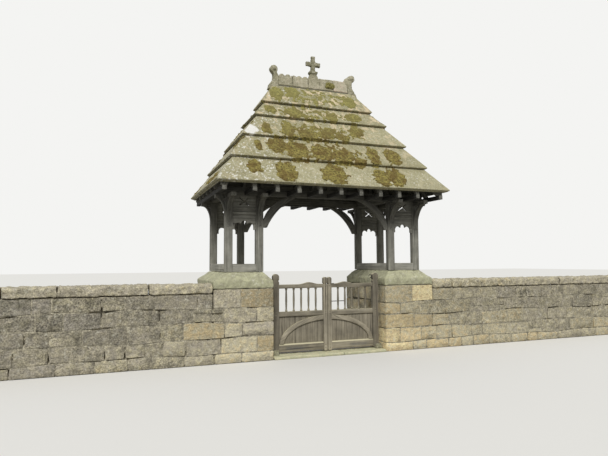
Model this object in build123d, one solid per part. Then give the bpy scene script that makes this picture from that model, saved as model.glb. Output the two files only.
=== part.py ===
"""Lychgate: a hipped stone-slate roof on oak frames, on two stone piers with a pair of gates between."""

from build123d import *
import math
import os

# Millimetres. X runs along the front, Y into the churchyard, Z up. The origin lies on the ground, at the
# middle of the passage and of the piers' depth.

# Masonry
passage_width = 2062.0
pier_width = 989.0
pier_depth = 1620.0
pier_height = 1159.0
coping_face_height = 123.0
coping_slope_height = 142.0
wall_thickness = 360.0
wall_height = 1090.0
wall_length = 5000.0
wall_coping_height = 165.0
wall_coping_overhang = 12.0
wall_coping_round = 62.0
threshold_height = 50.0
threshold_depth = 330.0
threshold_projection = 20.0

# Posts and sills
post_width = 125.0
post_depth = 100.0
post_height = 1252.0
inner_post_setback = 144.5
outer_post_setback = 205.5
post_end_setback = 115.0
sill_height = 127.0
sill_width = 100.0
plate_height = 130.0

# Pierced panels between the outer and inner posts
panel_thickness = 45.0
panel_setback = 22.0
panel_height = 564.0
panel_rail_height = 32.0
panel_rail_projection = 16.0
upper_rail_drop = 221.0
lower_rail_drop = 298.0
arch_apex_drop = 415.0
arch_head_radius = 48.0
arch_lobe_radius = 65.0
arch_lobe_offset = 97.0
arch_lobe_drop = 53.0
arch_throat_margin = 4.0
cross_cut_span = 165.0
cross_cut_height = 124.0
cross_cut_width = 22.0

# Brackets under the eaves and braces over the passage
bracket_width = 85.0
bracket_reach = 345.0
bracket_height = 529.0
bracket_arm_height = 60.0
bracket_post_bearing = 120.0
bracket_arm_bearing = 62.0
bracket_nose = 20.0
side_bracket_height = 346.0
brace_thickness = 64.0
brace_height = 526.0
brace_run = 600.0
brace_foot = 68.0
brace_bow = 71.0
brace_back_bow = 93.0
brace_post_bearing = 90.0
brace_plate_bearing = 130.0

# Eaves and roof. All four slopes have the same pitch.
side_eave_reach = 275.5
front_eave_reach = 625.0
eave_edge_rise = 79.0
roof_pitch = 58.0
first_course = 510.0
second_course = 505.0
third_course = 500.0
fourth_course = 360.0
slate_step = 55.0
roof_thickness = 100.0
joist_size = 70.0
joist_spacing = 366.0
joists_per_side = 4
edge_joist_inset = 150.0
rafter_width = 60.0
rafter_depth = 75.0
end_rafters_per_side = 2
hip_width = 50.0
hip_depth = 90.0
ridge_board_width = 40.0
ridge_board_depth = 190.0

# Ridge stones
ridge_stone_half = 59.0
crest_top_half = 32.0
crest_rise = 86.6
scallop_pitch = 115.0
scallop_height = 41.0
worn_height = 40.0
terminal_ball_offset = 13.0
terminal_ball_rise = 107.0
terminal_ball_radius = 76.0
terminal_seat_length = 70.0
terminal_tail_reach = 135.0
terminal_hollow_reach = 86.0
terminal_tail_drop = 284.0
terminal_half = 62.0
terminal_neck_drop = 51.0
terminal_neck_half = 48.0
cross_base_half = 110.0
cross_neck_half = 62.0
cross_collar_half = 84.0
cross_collar_rise = 112.0
cross_collar_height = 49.0
cross_collar_half_depth = 59.0
cross_shaft_half = 44.0
cross_height = 295.0
cross_arm_rise = 140.0
cross_arm_reach = 147.0
cross_arm_half = 43.0
cross_thickness = 84.0
cross_chamfer = 12.0

# Gates
gate_setback = 190.0
gate_thickness = 70.0
gate_side_gap = 41.0
gate_meeting_gap = 12.0
gate_floor_gap = 12.0
hanging_stile_width = 110.0
hanging_stile_rise = 180.0
meeting_stile_width = 70.0
meeting_stile_rise = 117.0
stile_neck_drop = 118.0
stile_neck_depth = 12.0
stile_neck_height = 34.0
stile_foot_round = 26.0
top_rail_height = 65.0
top_rail_hump = 34.0
hump_start = 59.0
hump_length = 400.0
middle_rail_height = 80.0
bottom_rail_rise = 22.0
bottom_rail_height = 130.0
bottom_rail_bevel = 20.0
rail_setback = 6.0
board_height = 454.0
board_thickness = 20.0
board_setback = 30.0
gate_arch_lap = 2.0
gate_arch_foot_drop = 14.0
gate_arch_side_gap = 10.0
gate_arch_width = 76.0
gate_arch_setback = 4.0
baluster_count = 5
baluster_length = 387.0
baluster_end_radius = 20.0
baluster_neck_radius = 13.0
baluster_belly_radius = 18.0
baluster_collar = 24.0
baluster_neck_length = 22.0

# Gate ironwork
pin_radius = 9.0
pin_clearance = 0.5
eye_wall = 6.5
hinge_axis_setback = 14.0
hinge_axis_side = 18.0
strap_height = 40.0
strap_thickness = 6.0
strap_length = 400.0
pin_head = 12.0
shank_size = 20.0
latch_bar_size = 12.0
latch_bar_rise = 140.0
latch_bar_length = 296.0
latch_strap_length = 56.0
latch_strap_width = 22.0
latch_strap_thickness = 8.0
hook_radius = 26.0
hook_rod_radius = 6.0
hook_drop = 62.0

# Places worked out from the sizes above
passage_half = passage_width / 2
pier_outer_x = passage_half + pier_width
pier_half_depth = pier_depth / 2
coping_shoulder = pier_height + coping_face_height
coping_top = coping_shoulder + coping_slope_height
sill_top = coping_top + sill_height
inner_post_face = passage_half + inner_post_setback
outer_post_face = pier_outer_x - outer_post_setback
inner_post_x = inner_post_face + post_width / 2
outer_post_x = outer_post_face - post_width / 2
bay_inner_x = inner_post_x + post_width / 2
bay_outer_x = outer_post_x - post_width / 2
post_outer_y = pier_half_depth - post_end_setback
post_inner_y = post_outer_y - post_depth
post_y = (post_outer_y + post_inner_y) / 2
wall_front_y = -pier_half_depth
wall_back_y = wall_front_y + wall_thickness
plate_underside = coping_top + post_height
plate_top = plate_underside + plate_height
panel_foot = plate_underside - panel_height
joist_underside = plate_underside
joist_top = joist_underside + joist_size
eave_x = outer_post_face + side_eave_reach
eave_y = post_outer_y + front_eave_reach
eave_z = joist_top + eave_edge_rise
edge_joist_x = eave_x - edge_joist_inset
pitch_sin = math.sin(math.radians(roof_pitch))
pitch_cos = math.cos(math.radians(roof_pitch))
pitch_tan = math.tan(math.radians(roof_pitch))
ridge_half = eave_x - eave_y
eave_undercut = roof_thickness * pitch_sin
rafter_foot_in = eave_undercut
roof_underside_drop = roof_thickness / pitch_cos
slate_step_drop = slate_step / pitch_cos
rafter_drop = rafter_depth / pitch_cos
lower_courses = [first_course, second_course, third_course, fourth_course]
top_course = (eave_y - ridge_stone_half) / pitch_cos - sum(lower_courses)
course_rises = [*lower_courses, top_course]
crest_valley = eave_z + eave_y * pitch_tan + crest_rise
terminal_x = ridge_half + terminal_ball_offset
terminal_inner_x = ridge_half - terminal_seat_length
terminal_ball_z = crest_valley + terminal_ball_rise
terminal_neck_top = terminal_ball_z - terminal_neck_drop
terminal_foot = crest_valley - terminal_tail_drop
cross_collar_foot = crest_valley + cross_collar_rise
cross_collar_top = cross_collar_foot + cross_collar_height
cross_top = cross_collar_top + cross_height
cross_arm_z = cross_collar_top + cross_arm_rise
gate_front_y = wall_front_y + gate_setback
gate_back_y = gate_front_y + gate_thickness
gate_outer_x = passage_half - gate_side_gap
gate_inner_x = gate_meeting_gap / 2
rail_outer_x = gate_outer_x - hanging_stile_width
rail_inner_x = gate_inner_x + meeting_stile_width
gate_foot = threshold_height + gate_floor_gap
bottom_rail_foot = gate_foot + bottom_rail_rise
bottom_rail_top = bottom_rail_foot + bottom_rail_height
middle_rail_foot = bottom_rail_top + board_height
middle_rail_top = middle_rail_foot + middle_rail_height
top_rail_foot = middle_rail_top + baluster_length
top_rail_top = top_rail_foot + top_rail_height
hanging_stile_top = top_rail_top + hanging_stile_rise
meeting_stile_top = top_rail_top + meeting_stile_rise
gate_arch_start = bottom_rail_top - gate_arch_foot_drop
gate_arch_rise = middle_rail_foot + gate_arch_lap - gate_arch_start
gate_arch_half_span = rail_outer_x - gate_arch_side_gap
hinge_axis_x = gate_outer_x + hinge_axis_side
hinge_axis_y = gate_back_y + hinge_axis_setback
eye_radius = pin_radius + pin_clearance + eye_wall
strap_heights = [bottom_rail_foot + bottom_rail_height / 2, top_rail_foot + top_rail_height / 2]

nodes = {}


def block(x_range, y_range, z_range):
    """A block that fills three ranges, each given in either order."""
    sizes = [abs(high - low) for low, high in (x_range, y_range, z_range)]
    centre = [(low + high) / 2 for low, high in (x_range, y_range, z_range)]
    return Pos(*centre) * Box(*sizes)


def run_along_y(points, y_range):
    """A prism along Y with a straight-sided outline of (X, Z) points."""
    outline = Polyline([(x, y_range[0], z) for x, z in points], close=True)
    return extrude(make_face(outline), amount=y_range[1] - y_range[0], dir=(0, 1, 0))


def run_along_x(points, x_range):
    """A prism along X with a straight-sided outline of (Y, Z) points."""
    outline = Polyline([(x_range[0], y, z) for y, z in points], close=True)
    return extrude(make_face(outline), amount=x_range[1] - x_range[0], dir=(1, 0, 0))


def run_upwards(points, z_range):
    """A prism along Z with a straight-sided outline of (X, Y) points."""
    outline = Polyline([(x, y, z_range[0]) for x, y in points], close=True)
    return extrude(make_face(outline), amount=z_range[1] - z_range[0], dir=(0, 0, 1))


def mirrored_x(shape):
    """The same piece on the other side of the passage."""
    return mirror(shape, about=Plane.YZ)


def mirrored_y(shape):
    """The same piece on the churchyard side."""
    return mirror(shape, about=Plane.XZ)


def store(name, *pieces):
    """Keep a node of one or more separate solids."""
    solids = [solid for piece in pieces for solid in piece.solids()]
    nodes[name] = solids[0] if len(solids) == 1 else Compound(solids)


def store_sides(name, *left_pieces):
    """Keep a left node and its mirror image on the right."""
    store("left_" + name, *left_pieces)
    store("right_" + name, *[mirrored_x(piece) for piece in left_pieces])


def store_faces(name, *front_pieces):
    """Keep a front node and its mirror image at the back."""
    store("front_" + name, *front_pieces)
    store("back_" + name, *[mirrored_y(piece) for piece in front_pieces])


def make_piers():
    """Two rubble piers, each with one weathered coping that carries the timber."""
    pier = block((-pier_outer_x, -passage_half), (-pier_half_depth, pier_half_depth), (0, pier_height))
    store_sides("pier", pier)
    long_slopes = run_along_y(
        [
            (-pier_outer_x, pier_height),
            (-pier_outer_x, coping_shoulder),
            (-outer_post_face, coping_top),
            (-inner_post_face, coping_top),
            (-passage_half, coping_shoulder),
            (-passage_half, pier_height),
        ],
        (-pier_half_depth, pier_half_depth),
    )
    end_slopes = run_along_x(
        [
            (-pier_half_depth, pier_height),
            (-pier_half_depth, coping_shoulder),
            (-post_outer_y, coping_top),
            (post_outer_y, coping_top),
            (pier_half_depth, coping_shoulder),
            (pier_half_depth, pier_height),
        ],
        (-pier_outer_x, -passage_half),
    )
    store_sides("pier_coping", long_slopes & end_slopes)


def make_walls():
    """Boundary walls that run on from the piers, under rounded coping stones."""
    x_range = (-pier_outer_x - wall_length, -pier_outer_x)
    store_sides("wall", block(x_range, (wall_front_y, wall_back_y), (0, wall_height)))
    y_range = (wall_front_y - wall_coping_overhang, wall_back_y + wall_coping_overhang)
    coping = block(x_range, y_range, (wall_height, wall_height + wall_coping_height))
    top_edges = coping.edges().filter_by(Axis.X).group_by(Axis.Z)[-1]
    store_sides("wall_coping", fillet(top_edges, radius=wall_coping_round))


def make_threshold():
    """The stone under the closed gates."""
    front = wall_front_y - threshold_projection
    y_range = (front, front + threshold_depth)
    store("threshold_stone", block((-passage_half, passage_half), y_range, (0, threshold_height)))


def make_posts_and_sills():
    """Four posts on each pier, with sills between their feet."""
    z_range = (coping_top, plate_underside)
    front_posts = []
    for x in (-outer_post_x, -inner_post_x):
        x_range = (x - post_width / 2, x + post_width / 2)
        front_posts.append(block(x_range, (-post_outer_y, -post_inner_y), z_range))
    store_sides("front_posts", *front_posts)
    store_sides("back_posts", *[mirrored_y(post) for post in front_posts])

    z_range = (coping_top, sill_top)
    front_sill = block((-bay_outer_x, -bay_inner_x), (-post_outer_y, -post_inner_y), z_range)
    depth_range = (-post_inner_y, post_inner_y)
    outer_sill = block((-outer_post_face, -outer_post_face + sill_width), depth_range, z_range)
    inner_sill = block((-inner_post_face - sill_width, -inner_post_face), depth_range, z_range)
    store_sides("sills", front_sill, mirrored_y(front_sill), outer_sill, inner_sill)


def make_plates():
    """Plates along the front and back, tied by beams over the posts."""
    reach = edge_joist_x - joist_size / 2
    z_range = (plate_underside, plate_top)
    store_faces("wall_plate", block((-reach, reach), (-post_outer_y, -post_inner_y), z_range))
    beams = []
    for x in (-outer_post_x, -inner_post_x, inner_post_x, outer_post_x):
        x_range = (x - post_width / 2, x + post_width / 2)
        beams.append(block(x_range, (-post_inner_y, post_inner_y), z_range))
    store("cross_beams", *beams)


def make_panel():
    """A pierced panel over one bay: a crossed slot, two moulded rails and a three-lobed arch."""
    front = -post_outer_y + panel_setback
    back = front + panel_thickness
    middle = -(inner_post_x + outer_post_x) / 2
    panel = block((-bay_outer_x, -bay_inner_x), (front, back), (panel_foot, plate_underside))
    upper_rail_z = plate_underside - upper_rail_drop
    lower_rail_z = plate_underside - lower_rail_drop
    for z in (upper_rail_z, lower_rail_z):
        z_range = (z - panel_rail_height / 2, z + panel_rail_height / 2)
        panel += block((-bay_outer_x, -bay_inner_x), (front - panel_rail_projection, front), z_range)

    head_z = plate_underside - arch_apex_drop - arch_head_radius
    lobe_z = head_z - arch_lobe_drop
    lobe_reach = arch_lobe_offset + arch_lobe_radius
    y_centre = (front + back) / 2
    through = Rot(90, 0, 0)
    arch = Pos(middle, y_centre, head_z) * through * Cylinder(arch_head_radius, 2 * panel_thickness)
    for side in (-1, 1):
        place = Pos(middle + side * arch_lobe_offset, y_centre, lobe_z)
        arch += place * through * Cylinder(arch_lobe_radius, 2 * panel_thickness)
    y_range = (front - panel_thickness, back + panel_thickness)
    arch += block((middle - lobe_reach, middle + lobe_reach), y_range, (sill_top, lobe_z))
    throat = arch_lobe_offset - arch_lobe_radius + arch_throat_margin
    arch += block((middle - throat, middle + throat), y_range, (lobe_z, head_z))

    slot_z = (upper_rail_z + panel_rail_height / 2 + plate_underside) / 2
    slot_length = math.hypot(cross_cut_span, cross_cut_height)
    slot_angle = math.degrees(math.atan2(cross_cut_height, cross_cut_span))
    for angle in (-slot_angle, slot_angle):
        slot = Box(slot_length, 2 * panel_thickness, cross_cut_width)
        arch += Pos(middle, y_centre, slot_z) * Rot(0, angle, 0) * slot
    return panel - arch


def make_panels():
    """Pierced panels front and back over both bays."""
    panel = make_panel()
    store_faces("tracery", panel, mirrored_x(panel))


def bracket_outline(run, rise, post_bearing, beam_bearing):
    """Face of a bracket's brace in a corner, with the post along its upright axis and the arm at its top."""
    corner = Pos(run / 2, rise / 2) * Rectangle(run, rise)
    hollow = Pos(run, 0) * Ellipse(run, rise)
    upper_run = run - beam_bearing
    upper_rise = rise - post_bearing
    spandrel = Pos(upper_run / 2, rise - upper_rise / 2) * Rectangle(upper_run, upper_rise)
    spandrel -= Pos(upper_run, post_bearing) * Ellipse(upper_run, upper_rise)
    return corner - hollow - spandrel


def make_bracket(face_y, reach, height):
    """A bracket out from a post along -Y: a square-ended arm on a curved brace."""
    foot = joist_underside - height
    arm_z = joist_underside - bracket_arm_height
    width_range = (-bracket_width / 2, bracket_width / 2)
    arm = block(width_range, (face_y, face_y - reach), (arm_z, joist_underside))
    outline = bracket_outline(reach - bracket_nose, arm_z - foot, bracket_post_bearing, bracket_arm_bearing)
    side = Plane((-bracket_width / 2, face_y, foot), x_dir=(0, -1, 0), z_dir=(-1, 0, 0))
    return arm + extrude(side * outline, amount=bracket_width, dir=(1, 0, 0))


def make_brackets():
    """Brackets out from every post to the front or back, and out from the end posts to the sides."""
    forward = make_bracket(-post_outer_y, bracket_reach, bracket_height)
    front = [Pos(x, 0, 0) * forward for x in (-outer_post_x, -inner_post_x, inner_post_x, outer_post_x)]
    side_reach = edge_joist_x + joist_size / 2 - outer_post_face
    sideways = Rot(0, 0, -90) * make_bracket(-outer_post_face, side_reach, side_bracket_height)
    ends = [Pos(0, -post_y, 0) * sideways, Pos(0, post_y, 0) * sideways]
    brackets = front + [mirrored_y(piece) for piece in front]
    store("eave_brackets", *brackets, *ends, *[mirrored_x(piece) for piece in ends])


def arch_brace_outline():
    """Face of an arch brace in a corner, with the post along its upright axis and the plate at its top."""
    foot = (brace_foot, 0)
    tip = (brace_run, brace_height)
    heel = (brace_run - brace_plate_bearing, brace_height)
    toe = (0, brace_post_bearing)
    edges = Line((0, 0), foot).edges()
    edges += SagittaArc(foot, tip, brace_bow).edges()
    edges += Line(tip, heel).edges()
    edges += SagittaArc(heel, toe, -brace_back_bow).edges()
    edges += Line(toe, (0, 0)).edges()
    return make_face(edges)


def make_arch_braces():
    """Curved braces from the inner posts up to the plates, which arch the passage front and back."""
    corner = (-inner_post_face, -post_y - brace_thickness / 2, plate_underside - brace_height)
    front = Plane(corner, x_dir=(1, 0, 0), z_dir=(0, -1, 0))
    brace = extrude(front * arch_brace_outline(), amount=brace_thickness, dir=(0, 1, 0))
    pair = [brace, mirrored_x(brace)]
    store("arch_braces", *pair, *[mirrored_y(piece) for piece in pair])


def joist_places():
    """X of each joist that sticks out to the front and back."""
    return [count * joist_spacing for count in range(-joists_per_side, joists_per_side + 1)]


def make_eave_joists():
    """Short joists from the plates out under the eaves, and one long joist under each end eave."""
    joist_end = eave_y - eave_undercut
    pieces = []
    for x in joist_places():
        x_range = (x - joist_size / 2, x + joist_size / 2)
        joist = block(x_range, (-joist_end, -post_outer_y), (joist_underside, joist_top))
        pieces += [joist, mirrored_y(joist)]
    x_range = (-edge_joist_x - joist_size / 2, -edge_joist_x + joist_size / 2)
    edge = block(x_range, (-joist_end, joist_end), (joist_underside, joist_top))
    store("eave_joists", *pieces, edge, mirrored_x(edge))


def slope_height(inward):
    """Height of the line of the slates' lower edges, at a distance in from the eave."""
    return eave_z + inward * pitch_tan


def slope_profile():
    """Stepped section of a slope as (inward, z) points, from the eave edge up to the ridge and back."""
    points = [(0.0, eave_z)]
    climbed = 0.0
    for course, rise in enumerate(course_rises, start=1):
        climbed += rise
        edge = (climbed * pitch_cos, eave_z + climbed * pitch_sin)
        points.append((edge[0] + slate_step * pitch_sin, edge[1] - slate_step * pitch_cos))
        if course < len(course_rises):
            points.append(edge)
    points.append((eave_y, slope_height(eave_y) - slate_step_drop))
    points.append((eave_y, slope_height(eave_y) - roof_underside_drop))
    points.append((eave_undercut, slope_height(eave_undercut) - roof_underside_drop))
    return points


def plan_of_front(inset=0.0):
    """Plan of the front slope, drawn in from the hips by an inset measured square to them."""
    shift = inset * math.sqrt(2)
    eave = eave_x - shift
    return [(-eave, -eave_y), (-ridge_half, -shift), (ridge_half, -shift), (eave, -eave_y)]


def plan_of_left(inset=0.0):
    """Plan of the left slope, drawn in from the hips in the same way."""
    shift = inset * math.sqrt(2)
    return [(-eave_x, -eave_y + shift), (-ridge_half - shift, 0), (-eave_x, eave_y - shift)]


def whole_height():
    """A height range that holds the whole roof."""
    return (joist_underside, cross_top)


def make_slopes():
    """Four slopes of thick stone slates in stepped courses, mitred at the hips."""
    profile = slope_profile()
    front = run_along_x([(-eave_y + inward, z) for inward, z in profile], (-eave_x, eave_x))
    front &= run_upwards(plan_of_front(), whole_height())
    left = run_along_y([(-eave_x + inward, z) for inward, z in profile], (-eave_y, eave_y))
    left &= run_upwards(plan_of_left(), whole_height())
    store_faces("roof_slope", front)
    store_sides("roof_slope", left)


def rafter_profile(inward_end):
    """Section of a rafter as (inward, z) points, with a level foot on the joist."""
    top_line = slope_height(0) - roof_underside_drop
    low_line = top_line - rafter_drop
    heel = (joist_top - low_line) / pitch_tan
    return [
        (rafter_foot_in, top_line + rafter_foot_in * pitch_tan),
        (inward_end, top_line + inward_end * pitch_tan),
        (inward_end, low_line + inward_end * pitch_tan),
        (heel, joist_top),
        (rafter_foot_in, joist_top),
    ]


def make_rafters():
    """Rafters over every joist, cut off at the hips, with the ridge board between the upper ends."""
    ridge_face = eave_y - ridge_board_width / 2
    common = [(-eave_y + inward, z) for inward, z in rafter_profile(ridge_face)]
    between_hips = run_upwards(plan_of_front(hip_width / 2), whole_height())
    pieces = []
    for x in joist_places():
        rafter = run_along_x(common, (x - rafter_width / 2, x + rafter_width / 2)) & between_hips
        pieces += [rafter, mirrored_y(rafter)]
    store("common_rafters", *pieces)

    end_section = [(-eave_x + inward, z) for inward, z in rafter_profile(ridge_face)]
    between_hips = run_upwards(plan_of_left(hip_width / 2), whole_height())
    pieces = []
    for count in range(-end_rafters_per_side, end_rafters_per_side + 1):
        y = count * joist_spacing
        rafter = run_along_y(end_section, (y - rafter_width / 2, y + rafter_width / 2)) & between_hips
        pieces += [rafter, mirrored_x(rafter)]
    for piece in make_hips():
        pieces += [piece, mirrored_x(piece)]
    store("end_rafters", *pieces)

    board_top = slope_height(eave_y) - roof_underside_drop
    shoulder = slope_height(ridge_face) - roof_underside_drop
    half = ridge_board_width / 2
    foot = board_top - ridge_board_depth
    section = [(-half, foot), (-half, shoulder), (0, board_top), (half, shoulder), (half, foot)]
    store("ridge_board", run_along_x(section, (-ridge_half, ridge_half)))


def make_hips():
    """The two hip rafters of the left end, which stand on the edge joist."""
    drop = hip_width / 2 / math.sqrt(2) * pitch_tan
    top_line = slope_height(0) - roof_underside_drop - drop
    low_line = top_line - hip_depth / pitch_cos
    foot_in = rafter_foot_in + hip_width / 2
    heel = (joist_top - low_line) / pitch_tan
    section = [
        (foot_in, top_line + foot_in * pitch_tan),
        (eave_y, top_line + eave_y * pitch_tan),
        (eave_y, low_line + eave_y * pitch_tan),
        (heel, joist_top),
        (foot_in, joist_top),
    ]
    along = [(inward * math.sqrt(2), z) for inward, z in section]
    hip = run_along_y(along, (-hip_width / 2, hip_width / 2))
    hip = Pos(-eave_x, -eave_y, 0) * Rot(0, 0, 45) * hip
    clear = block((-eave_x, 0), (-eave_y, -ridge_board_width / 2), whole_height())
    hip = hip & clear
    return [hip, mirrored_y(hip)]


def crest_section(top):
    """Section across the ridge stones as (Y, Z) points, from the top course up to a given height."""
    edge_y = ridge_stone_half
    edge_z = slope_height(eave_y - ridge_stone_half)
    seat_y = edge_y - slate_step * pitch_sin
    seat_z = edge_z - slate_step * pitch_cos
    apex = slope_height(eave_y) - slate_step_drop
    half = [(edge_y, edge_z), (crest_top_half, top)]
    other = [(-y, z) for y, z in reversed(half)]
    return [(0, apex), (seat_y, seat_z)] + half + other + [(-seat_y, seat_z)]


def make_crest():
    """Ridge stones: a scalloped crest left of the cross, and a worn one right of it."""
    foot = slope_height(eave_y) - roof_underside_drop
    scallop_top = crest_valley + scallop_height
    places = []
    x = -cross_base_half - scallop_pitch
    while x > -terminal_inner_x:
        places.append(x)
        x -= scallop_pitch
    edges = [*Line((-cross_base_half, 0, foot), (-cross_base_half, 0, crest_valley)).edges()]
    right = -cross_base_half
    for left in places:
        middle = (left + right) / 2
        arc = ThreePointArc((right, 0, crest_valley), (middle, 0, scallop_top), (left, 0, crest_valley))
        edges += arc.edges()
        right = left
    edges += Line((right, 0, crest_valley), (-terminal_inner_x, 0, crest_valley)).edges()
    edges += Line((-terminal_inner_x, 0, crest_valley), (-terminal_inner_x, 0, foot)).edges()
    edges += Line((-terminal_inner_x, 0, foot), (-cross_base_half, 0, foot)).edges()
    thick = 2 * terminal_half
    comb = Pos(0, thick, 0) * extrude(make_face(edges), amount=2 * thick, dir=(0, -1, 0))
    scalloped = comb & run_along_x(crest_section(scallop_top), (-terminal_inner_x, -cross_base_half))
    worn = run_along_x(crest_section(crest_valley + worn_height), (cross_base_half, terminal_inner_x))
    store("ridge_crest", scalloped, worn)


def make_terminal():
    """The left ridge end: a neck that flares out along the ridge, with a ball on top."""
    neck_left = -terminal_x - terminal_neck_half
    tail = -ridge_half - terminal_tail_reach
    face = make_face(
        [
            *Line((-terminal_inner_x, 0, terminal_foot), (-terminal_inner_x, 0, crest_valley)).edges(),
            *Line((-terminal_inner_x, 0, crest_valley), (-terminal_x, 0, terminal_ball_z)).edges(),
            *Line((-terminal_x, 0, terminal_ball_z), (neck_left, 0, terminal_neck_top)).edges(),
            *ThreePointArc(
                (neck_left, 0, terminal_neck_top),
                (-ridge_half - terminal_hollow_reach, 0, (terminal_neck_top + terminal_foot) / 2),
                (tail, 0, terminal_foot),
            ).edges(),
            *Line((tail, 0, terminal_foot), (-terminal_inner_x, 0, terminal_foot)).edges(),
        ]
    )
    neck = Pos(0, terminal_half, 0) * extrude(face, amount=2 * terminal_half, dir=(0, -1, 0))
    ball = Pos(-terminal_x, 0, terminal_ball_z) * Sphere(terminal_ball_radius)
    stone = neck + ball
    for name in ("front_roof_slope", "back_roof_slope", "left_roof_slope"):
        stone -= nodes[name]
    return stone.solids().sort_by(Axis.Z)[-1]


def make_cross():
    """The stone cross at the middle of the ridge, on a flared base with a collar."""
    foot = slope_height(eave_y) - roof_underside_drop
    base = run_along_y(
        [
            (-cross_base_half, foot),
            (-cross_base_half, crest_valley),
            (-cross_neck_half, cross_collar_foot),
            (cross_neck_half, cross_collar_foot),
            (cross_base_half, crest_valley),
            (cross_base_half, foot),
        ],
        (-terminal_half, terminal_half),
    )
    section = crest_section(crest_valley)
    widest = cross_thickness / 2
    shoulders = [(y, z) for y, z in section if z < crest_valley]
    below, above = shoulders[:3], shoulders[3:]
    head = [
        (widest, crest_valley),
        (widest, cross_collar_foot),
        (-widest, cross_collar_foot),
        (-widest, crest_valley),
    ]
    base &= run_along_x(below + head + above, (-cross_base_half, cross_base_half))
    collar_y = (-cross_collar_half_depth, cross_collar_half_depth)
    collar = block((-cross_collar_half, cross_collar_half), collar_y, (cross_collar_foot, cross_collar_top))
    thickness = (-cross_thickness / 2, cross_thickness / 2)
    cross = block((-cross_shaft_half, cross_shaft_half), thickness, (cross_collar_top, cross_top))
    arm_z = (cross_arm_z - cross_arm_half, cross_arm_z + cross_arm_half)
    cross += block((-cross_arm_reach, cross_arm_reach), thickness, arm_z)
    faces = cross.faces().filter_by(Axis.Y)
    cross = chamfer(faces.edges(), length=cross_chamfer)
    return base + collar + cross


def make_ridge():
    """Crest, ridge ends and cross."""
    make_crest()
    terminal = make_terminal()
    store("ridge_terminals", terminal, mirrored_x(terminal))
    store("ridge_cross", make_cross())


def stile(x_range, top):
    """A gate stile with a rounded head over a nicked neck, and a rounded foot."""
    left, right = sorted(x_range)
    half = (right - left) / 2
    middle = (left + right) / 2
    head = top - half
    neck = head - stile_neck_drop + half
    faces = [
        *Line((left, 0, gate_foot), (left, 0, neck - stile_neck_height / 2)).edges(),
        *ThreePointArc(
            (left, 0, neck - stile_neck_height / 2),
            (left + stile_neck_depth, 0, neck),
            (left, 0, neck + stile_neck_height / 2),
        ).edges(),
        *Line((left, 0, neck + stile_neck_height / 2), (left, 0, head)).edges(),
        *ThreePointArc((left, 0, head), (middle, 0, top), (right, 0, head)).edges(),
        *Line((right, 0, head), (right, 0, neck + stile_neck_height / 2)).edges(),
        *ThreePointArc(
            (right, 0, neck + stile_neck_height / 2),
            (right - stile_neck_depth, 0, neck),
            (right, 0, neck - stile_neck_height / 2),
        ).edges(),
        *Line((right, 0, neck - stile_neck_height / 2), (right, 0, gate_foot)).edges(),
        *Line((right, 0, gate_foot), (left, 0, gate_foot)).edges(),
    ]
    post = Pos(0, gate_front_y, 0) * extrude(make_face(faces), amount=gate_thickness, dir=(0, 1, 0))
    return fillet(post.edges().filter_by(Axis.Y).group_by(Axis.Z)[0], radius=stile_foot_round)


def make_top_rail():
    """The top rail of the left leaf, with a low hump along its upper edge."""
    right = -rail_inner_x - hump_start
    left = right - hump_length
    edges = [
        *Line((-rail_outer_x, 0, top_rail_foot), (-rail_outer_x, 0, top_rail_top)).edges(),
        *Line((-rail_outer_x, 0, top_rail_top), (left, 0, top_rail_top)).edges(),
        *Spline(
            (left, 0, top_rail_top),
            ((left + right) / 2, 0, top_rail_top + top_rail_hump),
            (right, 0, top_rail_top),
            tangents=[(1, 0, 0), (1, 0, 0)],
        ).edges(),
        *Line((right, 0, top_rail_top), (-rail_inner_x, 0, top_rail_top)).edges(),
        *Line((-rail_inner_x, 0, top_rail_top), (-rail_inner_x, 0, top_rail_foot)).edges(),
        *Line((-rail_inner_x, 0, top_rail_foot), (-rail_outer_x, 0, top_rail_foot)).edges(),
    ]
    rail = extrude(make_face(edges), amount=gate_thickness - 2 * rail_setback, dir=(0, 1, 0))
    return Pos(0, gate_front_y + rail_setback, 0) * rail


def make_gate_frame():
    """Stiles and rails of the left leaf, pegged into one frame."""
    y_range = (gate_front_y + rail_setback, gate_back_y - rail_setback)
    frame = stile((-gate_outer_x, -rail_outer_x), hanging_stile_top)
    frame += stile((-rail_inner_x, -gate_inner_x), meeting_stile_top)
    frame += make_top_rail()
    frame += block((-rail_outer_x, -rail_inner_x), y_range, (middle_rail_foot, middle_rail_top))
    bottom = block((-rail_outer_x, -rail_inner_x), y_range, (bottom_rail_foot, bottom_rail_top))
    front_edge = bottom.edges().filter_by(Axis.X).group_by(Axis.Z)[-1].sort_by(Axis.Y)[0]
    return frame + chamfer(front_edge, length=bottom_rail_bevel)


def make_baluster(x):
    """A turned baluster between the middle and top rails."""
    foot, head = middle_rail_top, top_rail_foot
    neck_in = baluster_collar + baluster_neck_length
    lower = [
        (0, 0, foot),
        (baluster_end_radius, 0, foot),
        (baluster_end_radius, 0, foot + baluster_collar),
        (baluster_neck_radius, 0, foot + neck_in),
    ]
    upper = [
        (baluster_neck_radius, 0, head - neck_in),
        (baluster_end_radius, 0, head - baluster_collar),
        (baluster_end_radius, 0, head),
        (0, 0, head),
        (0, 0, foot),
    ]
    belly = ThreePointArc(lower[-1], (baluster_belly_radius, 0, (foot + head) / 2), upper[0])
    section = [*Polyline(lower).edges(), *belly.edges(), *Polyline(upper).edges()]
    return Pos(x, baluster_y(), 0) * revolve(make_face(section), axis=Axis.Z)


def baluster_y():
    """Middle of the gate's thickness."""
    return gate_front_y + gate_thickness / 2


def baluster_places():
    """Distances of the balusters from the middle of the passage, evenly spaced between the stiles."""
    pitch = (rail_outer_x - rail_inner_x) / (baluster_count + 1)
    return [rail_inner_x + pitch * (count + 1) for count in range(baluster_count)]


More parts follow.
